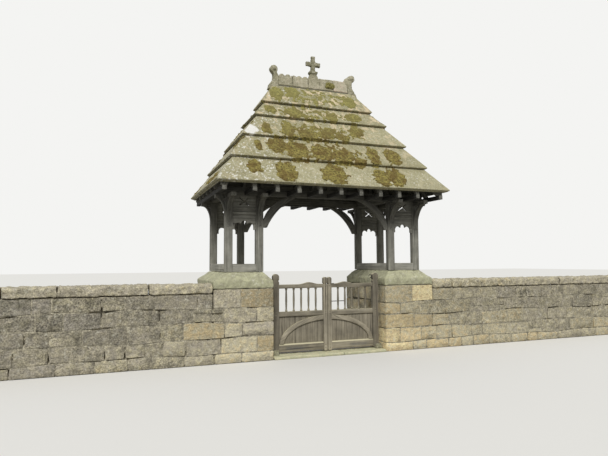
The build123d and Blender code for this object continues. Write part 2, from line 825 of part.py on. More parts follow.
def make_gate_boards():
    """Boarding below the middle rail of the left leaf."""
    front = gate_front_y + board_setback
    y_range = (front, front + board_thickness)
    return block((-rail_outer_x, -rail_inner_x), y_range, (bottom_rail_top, middle_rail_foot))


def make_gate_arch():
    """The curved brace planted on the left leaf's boards, half of an arch over both leaves."""
    front = gate_front_y + gate_arch_setback
    depth = board_setback - gate_arch_setback
    outer = Ellipse(gate_arch_half_span, gate_arch_rise)
    inner = Ellipse(gate_arch_half_span - gate_arch_width, gate_arch_rise - gate_arch_width)
    face = Plane((0, front, gate_arch_start), x_dir=(1, 0, 0), z_dir=(0, 1, 0))
    ring = extrude(face * (outer - inner), amount=depth)
    panel_z = (bottom_rail_top, middle_rail_foot)
    window = block((-rail_outer_x, -rail_inner_x), (front, front + depth), panel_z)
    return (ring & window).solids().sort_by(SortBy.VOLUME)[-1]


def make_strap(z):
    """A strap hinge of the left leaf: a flat bar on the back with an eye round the pin."""
    z_range = (z - strap_height / 2, z + strap_height / 2)
    bar_end = -hinge_axis_x + strap_length
    bar = block((-hinge_axis_x, bar_end), (gate_back_y, gate_back_y + strap_thickness), z_range)
    place = Pos(-hinge_axis_x, hinge_axis_y, z)
    eye = place * Cylinder(eye_radius, strap_height)
    return bar + eye - place * Cylinder(pin_radius + pin_clearance, 2 * strap_height)


def make_pintle(z):
    """A pin for the left leaf's strap, on a shank out of the pier."""
    foot = z - strap_height / 2 - pin_clearance
    top = z + strap_height / 2 + pin_head
    y_range = (hinge_axis_y - shank_size / 2, hinge_axis_y + shank_size / 2)
    shank = block((-passage_half, -hinge_axis_x), y_range, (foot - shank_size, foot))
    root = Pos(-hinge_axis_x, hinge_axis_y, foot - shank_size / 2) * Cylinder(shank_size / 2, shank_size)
    pin = Pos(-hinge_axis_x, hinge_axis_y, (foot + top) / 2) * Cylinder(pin_radius, top - foot)
    return shank + root + pin


def make_latch():
    """Ironwork of the right leaf: a lock bar, a strap on the top rail and a curled hook on the stile."""
    bar_y = baluster_y() + baluster_end_radius
    bar_x = (rail_inner_x, rail_inner_x + latch_bar_length)
    bar_foot = middle_rail_top + latch_bar_rise
    bar = block(bar_x, (bar_y, bar_y + latch_bar_size), (bar_foot, bar_foot + latch_bar_size))
    strap_y = (baluster_y() - latch_strap_width / 2, baluster_y() + latch_strap_width / 2)
    strap_z = (top_rail_top, top_rail_top + latch_strap_thickness)
    strap = block((rail_inner_x, rail_inner_x + latch_strap_length), strap_y, strap_z)
    hook_z = hanging_stile_top - hook_drop
    hook_plane = Plane((rail_outer_x, baluster_y(), hook_z), x_dir=(1, 0, 0), z_dir=(0, -1, 0))
    path = hook_plane * CenterArc((-hook_radius - hook_rod_radius, 0), hook_radius, -90, 270)
    start = path @ 0
    hook = sweep(Plane(start, z_dir=path % 0) * Circle(hook_rod_radius), path=path)
    root = block(
        (start.X, rail_outer_x),
        (baluster_y() - hook_rod_radius, baluster_y() + hook_rod_radius),
        (start.Z - hook_rod_radius, start.Z + hook_rod_radius),
    )
    return bar, strap, hook + root


def make_gates():
    """Two boarded leaves with balusters, hung on pins in the piers."""
    store_sides("gate_frame", make_gate_frame())
    store_sides("gate_balusters", *[make_baluster(-x) for x in baluster_places()])
    store_sides("gate_boards", make_gate_boards())
    store_sides("gate_arch", make_gate_arch())
    store_sides("gate_hinges", *[make_strap(z) for z in strap_heights])
    pintles = [make_pintle(z) for z in strap_heights]
    store("gate_pintles", *pintles, *[mirrored_x(pintle) for pintle in pintles])
    store("gate_latch", *make_latch())


make_piers()
make_walls()
make_threshold()
make_posts_and_sills()
make_plates()
make_panels()
make_brackets()
make_arch_braces()
make_eave_joists()
make_slopes()
make_rafters()
make_ridge()
make_gates()

os.makedirs("parts", exist_ok=True)
for name, shape in nodes.items():
    export_step(shape, f"parts/{name}.step")
print(len(nodes), "nodes")
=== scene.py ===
import math
import random
from functools import partial
from typing import NamedTuple

import bpy
import numpy as np
from bpy.props import FloatProperty, FloatVectorProperty, IntProperty, PointerProperty
from mathutils import Matrix, Vector, noise


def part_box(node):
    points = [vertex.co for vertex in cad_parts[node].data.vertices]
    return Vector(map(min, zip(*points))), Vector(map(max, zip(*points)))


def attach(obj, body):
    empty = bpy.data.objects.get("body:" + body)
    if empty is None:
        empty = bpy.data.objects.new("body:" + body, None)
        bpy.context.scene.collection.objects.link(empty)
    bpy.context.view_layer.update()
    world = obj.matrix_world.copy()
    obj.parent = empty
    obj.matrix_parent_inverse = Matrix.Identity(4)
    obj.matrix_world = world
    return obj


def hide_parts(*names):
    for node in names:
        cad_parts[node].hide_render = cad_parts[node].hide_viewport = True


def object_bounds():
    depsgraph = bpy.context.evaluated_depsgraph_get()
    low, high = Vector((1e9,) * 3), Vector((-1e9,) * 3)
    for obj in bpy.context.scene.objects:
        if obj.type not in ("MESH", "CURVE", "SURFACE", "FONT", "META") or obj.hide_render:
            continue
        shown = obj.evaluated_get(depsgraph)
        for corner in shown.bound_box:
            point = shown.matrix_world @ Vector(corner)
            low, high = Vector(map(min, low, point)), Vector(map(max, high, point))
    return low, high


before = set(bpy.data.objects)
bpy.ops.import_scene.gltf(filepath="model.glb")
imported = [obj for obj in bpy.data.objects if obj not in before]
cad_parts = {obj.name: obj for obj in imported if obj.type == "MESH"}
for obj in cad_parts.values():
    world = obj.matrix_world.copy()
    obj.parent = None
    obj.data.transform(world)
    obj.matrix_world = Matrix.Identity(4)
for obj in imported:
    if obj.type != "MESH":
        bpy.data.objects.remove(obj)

bl_info = {
    "name": "Lychgate",
    "version": (1, 0, 0),
    "blender": (4, 5, 0),
    "location": "View3D > Sidebar > Lychgate",
    "description": "Dresses a lychgate in stone, stone slates, moss, oak and iron",
    "category": "Object",
}

CAD_BOX = [list(corner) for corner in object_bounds()]

MM = 0.001
MERGE = 0.02 * MM
SIDES = {"left": -1, "right": 1}
FACES = ("front", "back", "left", "right")
# Angles up to which worn stone and moss, and slates, timber and iron, are shaded smooth, in degrees
SOFT_ANGLE = 60
CRISP_ANGLE = 35

# The block that stones, slates and boards are copied from: its points lie 0, 0.25 and 0.5 from its middle
BLOCK_INNER = 0.25
BLOCK_SHELL = 0.49
# The most that an edge's rounding takes of a side, and how much of it the edge itself is drawn in
ROUNDING_LIMIT = 0.24
CORNER_PULL = 0.3
PLAIN_TONE = (0.5, 0.5, 0.5)

# Fractal noises: their roughness, how much finer each level is than the one before, and their levels
COARSE_FRACTAL = (0.8, 2.0, 3)
FINE_FRACTAL = (0.7, 2.0, 4)

# Masonry, in metres
WALL_LOW, WALL_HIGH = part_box("left_wall")
PIER_LOW, PIER_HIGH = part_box("left_pier")
WALL_END = -WALL_LOW.x
PIER_OUTER = -PIER_LOW.x
PASSAGE_HALF = -PIER_HIGH.x
PIER_FRONT = -PIER_LOW.y
WALL_BACK = WALL_HIGH.y
WALL_HEIGHT = WALL_HIGH.z
PIER_HEIGHT = PIER_HIGH.z
BED_HEIGHTS = [0.0, 0.165, 0.395, 0.635, 0.865]
# The beds waver in two waves, each with its height, its radians a metre and its radians a course
BED_WAVES = [(0.014, 1.9, 2.1), (0.009, 5.1, 4.3)]
FACE_STONE_DEPTH = 0.13
QUOIN_LONG = 0.54
QUOIN_SHORT = 0.28
QUOIN_VARIETY = (0.9, 1.08)
# The share of stones that are two thin ones, and how far up the course the two may meet
THIN_STONES = 0.10
THIN_MEET = [(0.3, 0.4), (0.6, 0.7)]
JOINT_LEAN = 0.034
# How far a stone's corner may be worn, along and up, and the most of its length or height that this takes
CORNER_WEAR = (0.045, 0.030)
CORNER_LIMIT = 0.2
# How quickly the wear falls off away from the corner
CORNER_FALL = 1.5
# Each stone rounds its edges by a factor in this range
EDGE_VARIETY = (0.6, 1.3)
# How far the faces stand back and dent, as shares of the bulge
FACE_SET = (0.1, 0.8)
FACE_DENTS = (-0.1, 1.0)
# The mortar, left flush near its foot and top: how quickly its hollows come along X, Y and Z, how deep they
# go and the level of noise at which they start
MORTAR_VOXEL = 0.026
MORTAR_MARGIN = 0.04
WASH_RATES = (2.6, 2.6, 7.0)
WASH_DEPTH = 0.12
WASH_LEVEL = 0.22
# The mortar's dents: how deep they go, as a share of its recess, and how quickly they come
MORTAR_DENTS = 0.5
MORTAR_RATE = 11
# Each tone is a place on the colour scale, a lightness and a dirt. A stone's own are each given as its value
# far along the wall, what it gains beside the passage, what it gains at the ground, and its spread.
NEAR_REACH = 2.6
LOW_REACH = 0.7
STONE_WARMTH = {"left": (0.14, 0.24, 0.20, 0.07), "right": (0.32, 0.24, 0.20, 0.07)}
STONE_DIRT = {"left": (0.72, -0.50, -0.42, 0.14), "right": (0.60, -0.50, -0.42, 0.14)}
STONE_LIGHT = (0.60, 0.02, 0.18, 0.07)
PIER_LIGHT = {"left": 0.38, "right": 0.13}
PIER_DIRT = {"left": -0.16, "right": 0.0}
OCHRE_STONES = 0.05
OCHRE = 0.20
# Stones that stand out in the photograph: a place in each and its tone, and how far from its face it counts
NOTABLE_REACH = 0.1
NOTABLE_STONES = [
    (Vector((-1.25, -0.81, 1.00)), (0.66, 0.34, 0.20)),
    (Vector((-1.15, -0.81, 0.28)), (0.70, 0.48, 0.05)),
    (Vector((-1.88, -0.81, 0.50)), (0.66, 0.60, 0.15)),
    (Vector((1.70, -0.81, 0.95)), (0.95, 0.70, 0.00)),
    (Vector((1.14, -0.81, 0.50)), (0.76, 0.56, 0.00)),
    (Vector((1.70, -0.81, 0.48)), (0.70, 0.52, 0.05)),
]

# Dressed stones. Wear is the voxel that a stone is remeshed with, the rounds of softening, and how deep and
# how far apart its dents are. Coping tones are a middle and a spread of warmth and of lightness, and a range
# of dirt.
STONE_JOINT = 0.006
WALL_COPING_JOINTS = {"left": [2.98, 4.22, 4.92, 5.78], "right": [2.45, 3.75, 5.10, 6.20]}
WALL_COPING_JOINT = 0.003
WALL_COPING_WEAR = (0.016, 2, 0.018, 0.12)
WALL_COPING_TONES = {
    "left": ((0.34, 0.05), (0.90, 0.04), (0.3, 0.6)),
    "right": ((0.34, 0.05), (0.80, 0.04), (0.3, 0.6)),
}
PIER_COPING_JOINTS = [-0.25, 0.30]
PIER_COPING_WEAR = (0.020, 3, 0.010, 0.12)
PIER_COPING_TONES = ((0.50, 0.03), (0.66, 0.04), (0.05, 0.20))
THRESHOLD_JOINT = 0.22
THRESHOLD_WEAR = (0.014, 2, 0.006, 0.12)
THRESHOLD_TONE = (0.72, 0.80, 0.05)
# The small stones at the feet of the gates' hanging stiles
FOOT_STONE = (0.130, 0.065, 0.080)
FOOT_STONE_TAPER = (0.78, 0.70, 1)
FOOT_STONE_GAP = 0.008
FOOT_STONE_WEAR = (0.007, 3, 0.012, 0.05)
FOOT_STONE_WARMTH = (0.25, 0.35)
FOOT_STONE_TONE = (0.42, 0.35)

# Roof, in metres. The lower edges of the slates lie on one plane at each slope.
ROOF_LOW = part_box("front_roof_slope")[0]
ROOF_PITCH = math.radians(58)
ROOF_THICKNESS = 0.100
EAVE_X = -ROOF_LOW.x
EAVE_Y = -ROOF_LOW.y
EAVE_Z = ROOF_LOW.z + ROOF_THICKNESS * math.cos(ROOF_PITCH)
COURSES = [0.510, 0.505, 0.500, 0.360]
SLATE_STEP = 0.055
TOP_STEP = 0.026
SLATE_LAP = 0.070
SLATE_THICKNESS = 0.052
# A slate's thickness at its head, as a share of that at its foot
SLATE_THINNING = 0.7
SLATE_NARROWEST = 0.1
SLATE_TILT = 0.004
SLATE_RAGGED = 0.006
SLATE_SHIFT = 0.008
# A range of warmth, a middle and a spread of lightness, and a range of dirt
SLATE_TONES = ((0.35, 0.65), (0.5, 0.05), (0.1, 0.6))
# The short slates under the first course: where they start and end up the slope, their fall and thickness
UNDER_SLATES = (0.006, 0.340, 0.012, 0.026)
# No joint lies nearer a hip than this, and no course that reaches less to each side has a joint
HIP_MARGIN = 0.10
LEAST_REACH = 0.15
BOARD_THICKNESS = 0.018
BOARD_WIDTH = 0.150
BOARD_GAP = 0.004
BOARD_EDGE = 0.003
FIRST_BOARD = 0.03
BOARD_LIGHT = 0.5
RIDGE_STONE_HALF = 0.059
SLOPE_LENGTH = EAVE_Y / math.cos(ROOF_PITCH)
TOP_COURSE = (EAVE_Y - RIDGE_STONE_HALF) / math.cos(ROOF_PITCH) - sum(COURSES)
RIDGE_ROLL = 0.060
WHITE_PATCH = (-1.41, -0.716, 3.792)

# Ridge, in metres
CREST_JOINTS = [-0.42, 0.0, 0.40]
CREST_OVER = 0.01
CREST_WEAR = (0.009, 3, 0.006, 0.12)
CREST_TONES = [(0.48, 0.50, 0.40), (0.56, 0.54, 0.30), (0.46, 0.50, 0.42), (0.80, 0.56, 0.20)]
SCROLL_X = 0.783
SCROLL_RADIUS = 0.076
SCROLL_WIDTH = 0.124
SCROLL_EDGE = 0.018
HOLLOW_X = 1.004
HOLLOW_Z = 5.0
HOLLOW_RADIUS = 0.206
HOLLOW_WIDTH = 0.4
EYE_OFFSET = (0.006, 0.060, -0.004)
EYE_RADIUS = 0.030
TERMINAL_TONES = ((0.3, 0.6), (0.5, 0.08), (0.2, 0.5))
TERMINAL_WEAR = {"left": (0.009, 2, 0.008, 0.08), "right": (0.009, 8, 0.012, 0.08)}
SHOULDER = (0.715, 0.0, 5.02)
SHOULDER_SIZE = (0.20, 0.11, 0.28)
CROSS_WEAR = (0.009, 4, 0.008, 0.08)
CROSS_TONE = (0.22, 0.46, 0.65)
CROSS_FADE = 0.08

# Moss on the front slope, each clump as middle along the eave, middle up the slope, half width, half height
MOSS_CLUMPS = [
    (-1.44, 0.33, 0.12, 0.16),
    (-0.93, 0.23, 0.18, 0.24),
    (-0.09, 0.25, 0.24, 0.24),
    (0.80, 0.23, 0.16, 0.20),
    (1.08, 0.27, 0.18, 0.23),
    (-1.31, 0.80, 0.06, 0.15),
    (-0.98, 0.82, 0.18, 0.20),
    (-0.66, 0.74, 0.22, 0.24),
    (-0.22, 0.72, 0.24, 0.22),
    (0.16, 0.66, 0.24, 0.20),
    (0.46, 0.55, 0.12, 0.12),
    (0.77, 0.72, 0.12, 0.25),
    (1.17, 0.75, 0.15, 0.22),
    (-1.11, 1.19, 0.09, 0.16),
    (-0.72, 1.20, 0.12, 0.26),
    (-0.38, 1.14, 0.20, 0.16),
    (-0.02, 1.16, 0.22, 0.14),
    (0.26, 1.12, 0.14, 0.12),
    (0.60, 1.33, 0.16, 0.17),
    (-0.96, 1.70, 0.10, 0.12),
    (-0.52, 1.66, 0.20, 0.14),
    (0.20, 1.64, 0.12, 0.14),
    (0.63, 1.70, 0.17, 0.13),
    (-0.78, 2.12, 0.14, 0.20),
    (-0.46, 2.20, 0.14, 0.16),
    (0.66, 2.10, 0.14, 0.16),
]
# Where the moss is thin and broken, given in the same way
MOSS_MOTTLES = [
    (-0.20, 0.74, 0.95, 0.28),
    (-0.15, 1.20, 0.85, 0.30),
    (-0.22, 1.68, 0.85, 0.26),
    (0.00, 2.14, 0.90, 0.30),
]
CREST_MOSS = (0.33, -0.052, 4.935)
CREST_MOSS_SIZE = (0.20, 0.05, 0.13)
CREST_MOSS_LUMP = 0.020
CREST_MOSS_RATE = 24.0
MOSS_CELL = 0.013
MOSS_HEIGHT = 0.034
MOSS_DEPTH = 0.008
MOSS_SUNK = 0.006
MOSS_HIP_GAP = 0.02
MOSS_EAVE_GAP = 0.015
# How steeply moss thickens inwards and how far it passes its clump, then the same of a mottle, the most that
# a mottle has, and how much less it is below and above a height up the slope
CLUMP_RISE = 1.7
CLUMP_OVER = 0.06
MOTTLE_RISE = 1.3
MOTTLE_MOST = 0.5
MOTTLE_LESS = (0.36, 0.44)
MOTTLE_CHANGE = 1.5
# How much small spots thicken or thin it, and the least that shows
SPECKLE = 0.66
LEAST_MOSS = 0.05
# The spots: how quickly they come, their noise and where it starts
SPECKLE_RATE = 11.0
SPECKLE_FRACTAL = (0.7, 2.1, 4)
SPECKLE_START = Vector((3.0, 8.0, 2.0))
# Patches on the other slopes: how quickly they come, their noise, its strength and what is taken off it
PATCH_RATE = 2.3
PATCH_FRACTAL = (0.9, 2.0, 3)
PATCH_STRENGTH = 1.6
PATCH_LESS = 0.75
# How far apart the slopes lie in these noises
SLOPES_APART = 7.0
# Tufts, as shares of the moss's height: their middle, the strength and the rate of two noises, and the
# least that is left. Then how steeply the height grows with the thickness.
TUFT_MIDDLE = 0.60
TUFT_WAVES = [(0.40, 26.0), (0.30, 62.0)]
TUFT_LEAST = 0.25
MOSS_RISE = 1.3

# Timber, in metres. Each node of the frame with the lightness of its oak.
FRAME_NODES = {
    "left_front_posts": 0.50,
    "right_front_posts": 0.46,
    "left_back_posts": 0.46,
    "right_back_posts": 0.46,
    "left_sills": 0.64,
    "right_sills": 0.64,
    "front_wall_plate": 0.36,
    "back_wall_plate": 0.36,
    "cross_beams": 0.40,
    "eave_brackets": 0.30,
    "arch_braces": 0.42,
    "eave_joists": 0.02,
    "common_rafters": 0.50,
    "end_rafters": 0.50,
    "ridge_board": 0.50,
}
# The lightness of the ends and of the sides of the timbers that stick out under the eaves: weathering, with
# painted light on the ends and painted shade on the sides
EAVE_TIMBERS = {"eave_joists": (0.50, -0.15), "eave_brackets": (0.75, 0.30)}
TRACERY_ARRIS = 0.003
# Heights where the pierced panels meet their rails, and the lightness of each layer from the foot up; the
# rails and the upper panel are lighter, which is painted light against the shade under the eaves
RAIL_EDGES = [2.362, 2.394, 2.439, 2.471]
LAYER_LIGHTS = [0.62, 0.92, 0.70, 0.95, 0.85]
CUT = 0.0004
# How far the grain is shifted from timber to timber, and how much their lightness varies
GRAIN_SHIFT = 40
LIGHT_SPREAD = 0.04

# Gates, in metres. The lightness of each leaf's left stile, rails and right stile.
LEAF_LIGHTS = {"left": (0.23, 0.42, 0.50), "right": (0.50, 0.42, 0.23)}
ARCH_ARRIS = 0.007
ARCH_LIGHT = 0.70
GATE_BOARD_COUNT = 8
GATE_BOARD_GAP = 0.002
GATE_BOARD_EDGE = 0.005
GATE_BOARD_LIGHT = 0.44
GATE_PEG_HEIGHTS = [0.115, 0.170, 0.690, 0.730, 1.168]
PEG_LENGTH = 0.030
PEG_PROUD = 0.003
PEG_BEVEL = 0.6 * PEG_PROUD
PEG_LIGHT = 0.20
IRON_ARRIS = 0.0012
BALUSTER_COUNT = 5
BALUSTER_LIGHT = 0.34
# The baluster's profile: its radius at each height, in millimetres
BALUSTER_PROFILE = [
    (20.0, 0.0),
    (20.0, 22.0),
    (13.5, 28.0),
    (17.0, 35.0),
    (12.5, 44.0),
    (15.0, 90.0),
    (18.0, 193.5),
    (15.0, 297.0),
    (12.5, 343.0),
    (17.0, 352.0),
    (13.5, 359.0),
    (20.0, 365.0),
    (20.0, 387.0),
]

# The camera, as fitted to the photograph's straight lines
CAMERA_PLACE = (-3.4948, -8.7195, 1.570)
CAMERA_YAW = math.radians(20.7157)
CAMERA_PITCH = math.radians(3.9045)
CAMERA_ROLL = math.radians(-0.3087)
IMAGE_WIDTH_PX = 608
FOCAL_LENGTH_PX = 505.56
SENSOR_WIDTH_MM = 36.0

# The floor, and the lamp's strength, breadth and direction
FLOOR_SIZE = 160
LAMP_STRENGTH = 2.3
LAMP_ANGLE = math.radians(16)
LAMP_TOWARDS = (0.28, 0.68, -0.68)


def linear(hex_colour):
    """A colour for a shader socket, from its sRGB hex value."""
    channels = [int(hex_colour[start:start + 2], 16) / 255 for start in (1, 3, 5)]
    values = [c / 12.92 if c <= 0.04045 else ((c + 0.055) / 1.055) ** 2.4 for c in channels]
    return (*values, 1.0)


def colour_property(name, description, hex_colour):
    """A colour that a user can change, shown as a swatch."""
    return FloatVectorProperty(
        name=name, description=description, default=linear(hex_colour)[:3], subtype="COLOR", min=0, max=1
    )


def length_property(name, description, default):
    """A length that a user can change, shown in the scene's unit."""
    return FloatProperty(name=name, description=description, default=default, unit="LENGTH")


class LYCHGATE_PG_masonry(bpy.types.PropertyGroup):
    joint: length_property("Joint", "Width of the joints", 0.009)
    recess: length_property("Recess", "Depth of the mortar behind the stones", 0.0075)
    roundness: length_property("Worn edge", "Radius of the stones' edges", 0.009)
    bulge: length_property("Bulge", "Relief of the stones' faces", 0.008)
    chips: length_property("Chips", "Unevenness of the stones' beds", 0.014)
    shortest: length_property("Shortest", "Shortest stone in a course", 0.24)
    longest: length_property("Longest", "Longest stone in a course", 0.66)
    seed: IntProperty(name="Seed", description="Seed of the stones' sizes and tones", default=11)


class LYCHGATE_PG_roof(bpy.types.PropertyGroup):
    shortest: length_property("Narrowest", "Narrowest slate", 0.60)
    longest: length_property("Widest", "Widest slate", 1.10)
    joint: length_property("Joint", "Gap between slates", 0.005)
    edge: length_property("Worn edge", "Radius of the slates' lower edges", 0.014)
    side_edge: length_property("Side edge", "Radius of the slates' sides", 0.004)
    moss_dark: colour_property("Dark moss", "Moss in its hollows", "#463d1c")
    moss_light: colour_property("Light moss", "Moss at its tips", "#a19450")
    moss_dry: colour_property("Dry moss", "Moss that has dried brown", "#5f4a22")
    seed: IntProperty(name="Seed", description="Seed of the slates' widths and tones", default=29)


class LYCHGATE_PG_timber(bpy.types.PropertyGroup):
    arris: length_property("Arris", "Bevel of the frame's edges", 0.006)
    gate_arris: length_property("Gate arris", "Bevel of the gates' edges", 0.004)
    peg_radius: length_property("Peg", "Radius of the oak pegs", 0.011)
    seed: IntProperty(name="Seed", description="Seed of the grain's places", default=5)


def deselect():
    """Leaves nothing selected."""
    bpy.ops.object.select_all(action="DESELECT")


def pick(piece):
    """Makes one piece the only selected and active one."""
    deselect()
    piece.select_set(True)
    bpy.context.view_layer.objects.active = piece


def settle(piece, name):
    """Names a piece and moves its place into its mesh."""
    pick(piece)
    bpy.ops.object.transform_apply(location=True, rotation=True, scale=True)
    piece.name = name
    piece.data.name = name
    return piece


def edit(piece):
    """Opens a piece in edit mode with all of it selected."""
    pick(piece)
    bpy.ops.object.mode_set(mode="EDIT")
    bpy.ops.mesh.select_all(action="SELECT")


def edit_faces(piece, chosen):
    """Opens a piece in edit mode with only the faces selected that are chosen."""
    edit(piece)
    bpy.ops.mesh.select_all(action="DESELECT")
    bpy.ops.mesh.select_mode(type="FACE")
    done()
    for polygon in piece.data.polygons:
        polygon.select = chosen(polygon)
    bpy.ops.object.mode_set(mode="EDIT")


def done():
    """Closes edit mode."""
    bpy.ops.object.mode_set(mode="OBJECT")


def face_outwards(piece):
    """Turns all of a closed piece's faces outwards."""
    edit(piece)
    bpy.ops.mesh.normals_make_consistent(inside=False)
    done()


def finish_modifier(piece, kind, **settings):
    """Adds one modifier to a piece and applies it."""
    pick(piece)
    modifier = piece.modifiers.new(kind.title(), kind)
    for key, value in settings.items():
        setattr(modifier, key, value)
    bpy.ops.object.modifier_apply(modifier=modifier.name)


def bevel(piece, width, segments=2):
    """Rounds a piece's sharp edges."""
    sharp = {"limit_method": "ANGLE", "angle_limit": math.radians(30)}
    finish_modifier(piece, "BEVEL", width=width, segments=segments, **sharp)


def smooth(piece, angle):
    """Shades a piece smooth up to an angle."""
    pick(piece)
    bpy.ops.object.shade_smooth_by_angle(angle=math.radians(angle))


def finish_piece(piece, material, slot, body="gateway", node=None):
    """Gives a piece its material, hides the CAD node it stands for and hangs it on the body it rides on. Its
    slot is not used.
    """
    piece.data.materials.append(MATERIALS[material])
    if node:
        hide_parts(node)
    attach(piece, body)


def join(pieces, name):
    """Joins pieces into one mesh."""
    deselect()
    for piece in pieces:
        piece.select_set(True)
    bpy.context.view_layer.objects.active = pieces[0]
    bpy.ops.object.join()
    return settle(pieces[0], name)


def copy_of(node, name):
    """A closed copy of a CAD node's mesh, with its flat faces whole again."""
    piece = bpy.data.objects.new(name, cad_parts[node].data.copy())
    bpy.context.scene.collection.objects.link(piece)
    piece.data.materials.clear()
    edit(piece)
    bpy.ops.mesh.customdata_custom_splitnormals_clear()
    bpy.ops.mesh.remove_doubles(threshold=MERGE)
    bpy.ops.mesh.dissolve_limited(angle_limit=math.radians(0.5))
    bpy.ops.mesh.normals_make_consistent(inside=False)
    done()
    return piece


def cut_between(node, name, axis, low, high):
    """The part of a node between two planes square to one axis, closed where it is cut."""
    piece = copy_of(node, name)
    normal = Vector([1.0 if direction == axis else 0.0 for direction in "XYZ"])
    for place, sides in ((low, {"clear_inner": True}), (high, {"clear_outer": True})):
        edit(piece)
        bpy.ops.mesh.bisect(plane_co=normal * place, plane_no=normal, use_fill=True, **sides)
        done()
    return piece


def islands(mesh):
    """For each point of a mesh, a number that all points of its own solid share."""
    edges = np.empty(len(mesh.edges) * 2, np.int64)
    mesh.edges.foreach_get("vertices", edges)
    first, second = edges.reshape(-1, 2).T
    labels = np.arange(len(mesh.vertices))
    while True:
        lowest = np.minimum(labels[first], labels[second])
        before = labels.copy()
        np.minimum.at(labels, first, lowest)
        np.minimum.at(labels, second, lowest)
        labels = labels[labels]
        if np.array_equal(before, labels):
            return labels


def points_of(piece):
    """A piece's points as rows of X, Y and Z."""
    points = np.empty(len(piece.data.vertices) * 3, np.float32)
    piece.data.vertices.foreach_get("co", points)
    return points.reshape(-1, 3)


def displace(piece, push):
    """Moves each point of a piece along its normal by the push for its place, but not out of the CAD box."""
    points = points_of(piece)
    normals = np.empty(points.size, np.float32)
    piece.data.vertex_normals.foreach_get("vector", normals)
    pushes = np.array([push(Vector(point)) for point in points], np.float32)
    points += normals.reshape(-1, 3) * pushes[:, None]
    np.clip(points, *CAD_BOX, out=points)
    piece.data.vertices.foreach_set("co", points.ravel())
    piece.data.update()


def lay_grain(piece, rng, light):
    """Stores each timber's own coordinates, longest side first, for the grain to follow, and its tone."""
    points = points_of(piece)
    labels = islands(piece.data)
    grain = np.zeros_like(points)
    tones = np.full((len(points), 4), 1.0, np.float32)
    for label in np.unique(labels):
        mine = labels == label
        own = points[mine] - points[mine].mean(axis=0)
        axes = np.linalg.svd(own, full_matrices=False)[2]
        offset = [rng.uniform(0, GRAIN_SHIFT) for _ in range(3)]
        grain[mine] = own @ axes.T + offset
        tones[mine, :3] = light + rng.gauss(0, LIGHT_SPREAD)
    store_points(piece, "grain", "FLOAT_VECTOR", "vector", grain)
    store_points(piece, "tone", "FLOAT_COLOR", "color", tones)


def store_points(piece, name, kind, key, values):
    """Stores an attribute with a value for each point of a piece."""
    attribute = piece.data.attributes.get(name) or piece.data.attributes.new(name, kind, "POINT")
    attribute.data.foreach_set(key, np.asarray(values, np.float32).ravel())


def set_tone(piece, tone):
    """Stores one tone for a whole stone: its place on the colour scale, its lightness and its dirt."""
    store_points(piece, "tone", "FLOAT_COLOR", "color", np.tile([*tone, 1.0], len(piece.data.vertices)))


def drawn_tone(rng, warmth, light, dirt):
    """A tone from a range of warmth, a middle and a spread of lightness, and a range of dirt."""
    return (rng.uniform(*warmth), rng.gauss(*light), rng.uniform(*dirt))


def coping_tones(rng, warmth, light, dirt):
    """Tones for coping stones, one after another, for which warmth is a middle and a spread as well."""
    while True:
        yield (rng.gauss(*warmth), rng.gauss(*light), rng.uniform(*dirt))


def model_block():
    """Models the block that stones, slates and boards are copied from: a cube with three cuts each way."""
    deselect()
    bpy.ops.mesh.primitive_cube_add(size=1)
    block = bpy.context.object
    edit(block)
    bpy.ops.mesh.subdivide(number_cuts=3)
    done()
    set_tone(block, PLAIN_TONE)
    return block


def rounded(unit, size, rounding):
    """A block's points as shares of its sides, with its edges rounded by a real radius."""
    shell = np.abs(unit) > BLOCK_SHELL
    on_edge = (shell.sum(axis=1) > 1)[:, None]
    share = np.minimum(np.asarray(rounding) / np.asarray(size), ROUNDING_LIMIT)
    reach = np.where(shell, 0.5, np.abs(unit) / BLOCK_INNER * (0.5 - share))
    return 0.5 + np.sign(unit) * (reach - np.where(shell & on_edge, CORNER_PULL * share, 0))


def copy_block(block, points, tone):
    """Copies the block with its own mesh, its points in place and its tone set."""
    copy = block.copy()
    copy.data = block.data.copy()
    copy.data.vertices.foreach_set("co", points.astype(np.float32).ravel())
    bpy.context.scene.collection.objects.link(copy)
    set_tone(copy, tone)
    return copy


def bed_line(number, along, top):
    """Height of the bed under a course. It wavers, but runs true at the ground and at the top."""
    if number == 0:
        return np.zeros_like(along)
    if number == len(BED_HEIGHTS):
        return np.full_like(along, top)
    waves = [height * np.sin(rate * along + step * number) for height, rate, step in BED_WAVES]
    return BED_HEIGHTS[number] + sum(waves)


def lengths_between(start, end, shortest, longest, rng):
    """Joints along a course, at uneven lengths, from one end to the other."""
    joints = [start]
    while end - joints[-1] > longest:
        step = rng.uniform(shortest, longest)
        if end - joints[-1] - step < shortest:
            break
        joints.append(joints[-1] + step)
    joints.append(end)
    return joints


def stone_tone(place, rng):
    """Tone of one stone: greyer out along the walls, and more buff and ochre towards the passage."""
    side = "left" if place.x < 0 else "right"
    near = max(0.0, 1 - max(0.0, abs(place.x) - PASSAGE_HALF) / NEAR_REACH)
    low = max(0.0, 1 - place.z / LOW_REACH)

    def drawn(far, beside, below, spread):
        return far + beside * near + below * low + rng.gauss(0, spread)

    warmth = drawn(*STONE_WARMTH[side])
    if rng.random() < OCHRE_STONES:
        warmth += OCHRE
    dirt = drawn(*STONE_DIRT[side])
    light = drawn(*STONE_LIGHT)
    if abs(place.x) < PIER_OUTER:
        light += PIER_LIGHT[side]
        dirt += PIER_DIRT[side]
    return (min(1.0, max(0.0, warmth)), light, min(1.0, max(0.0, dirt)))


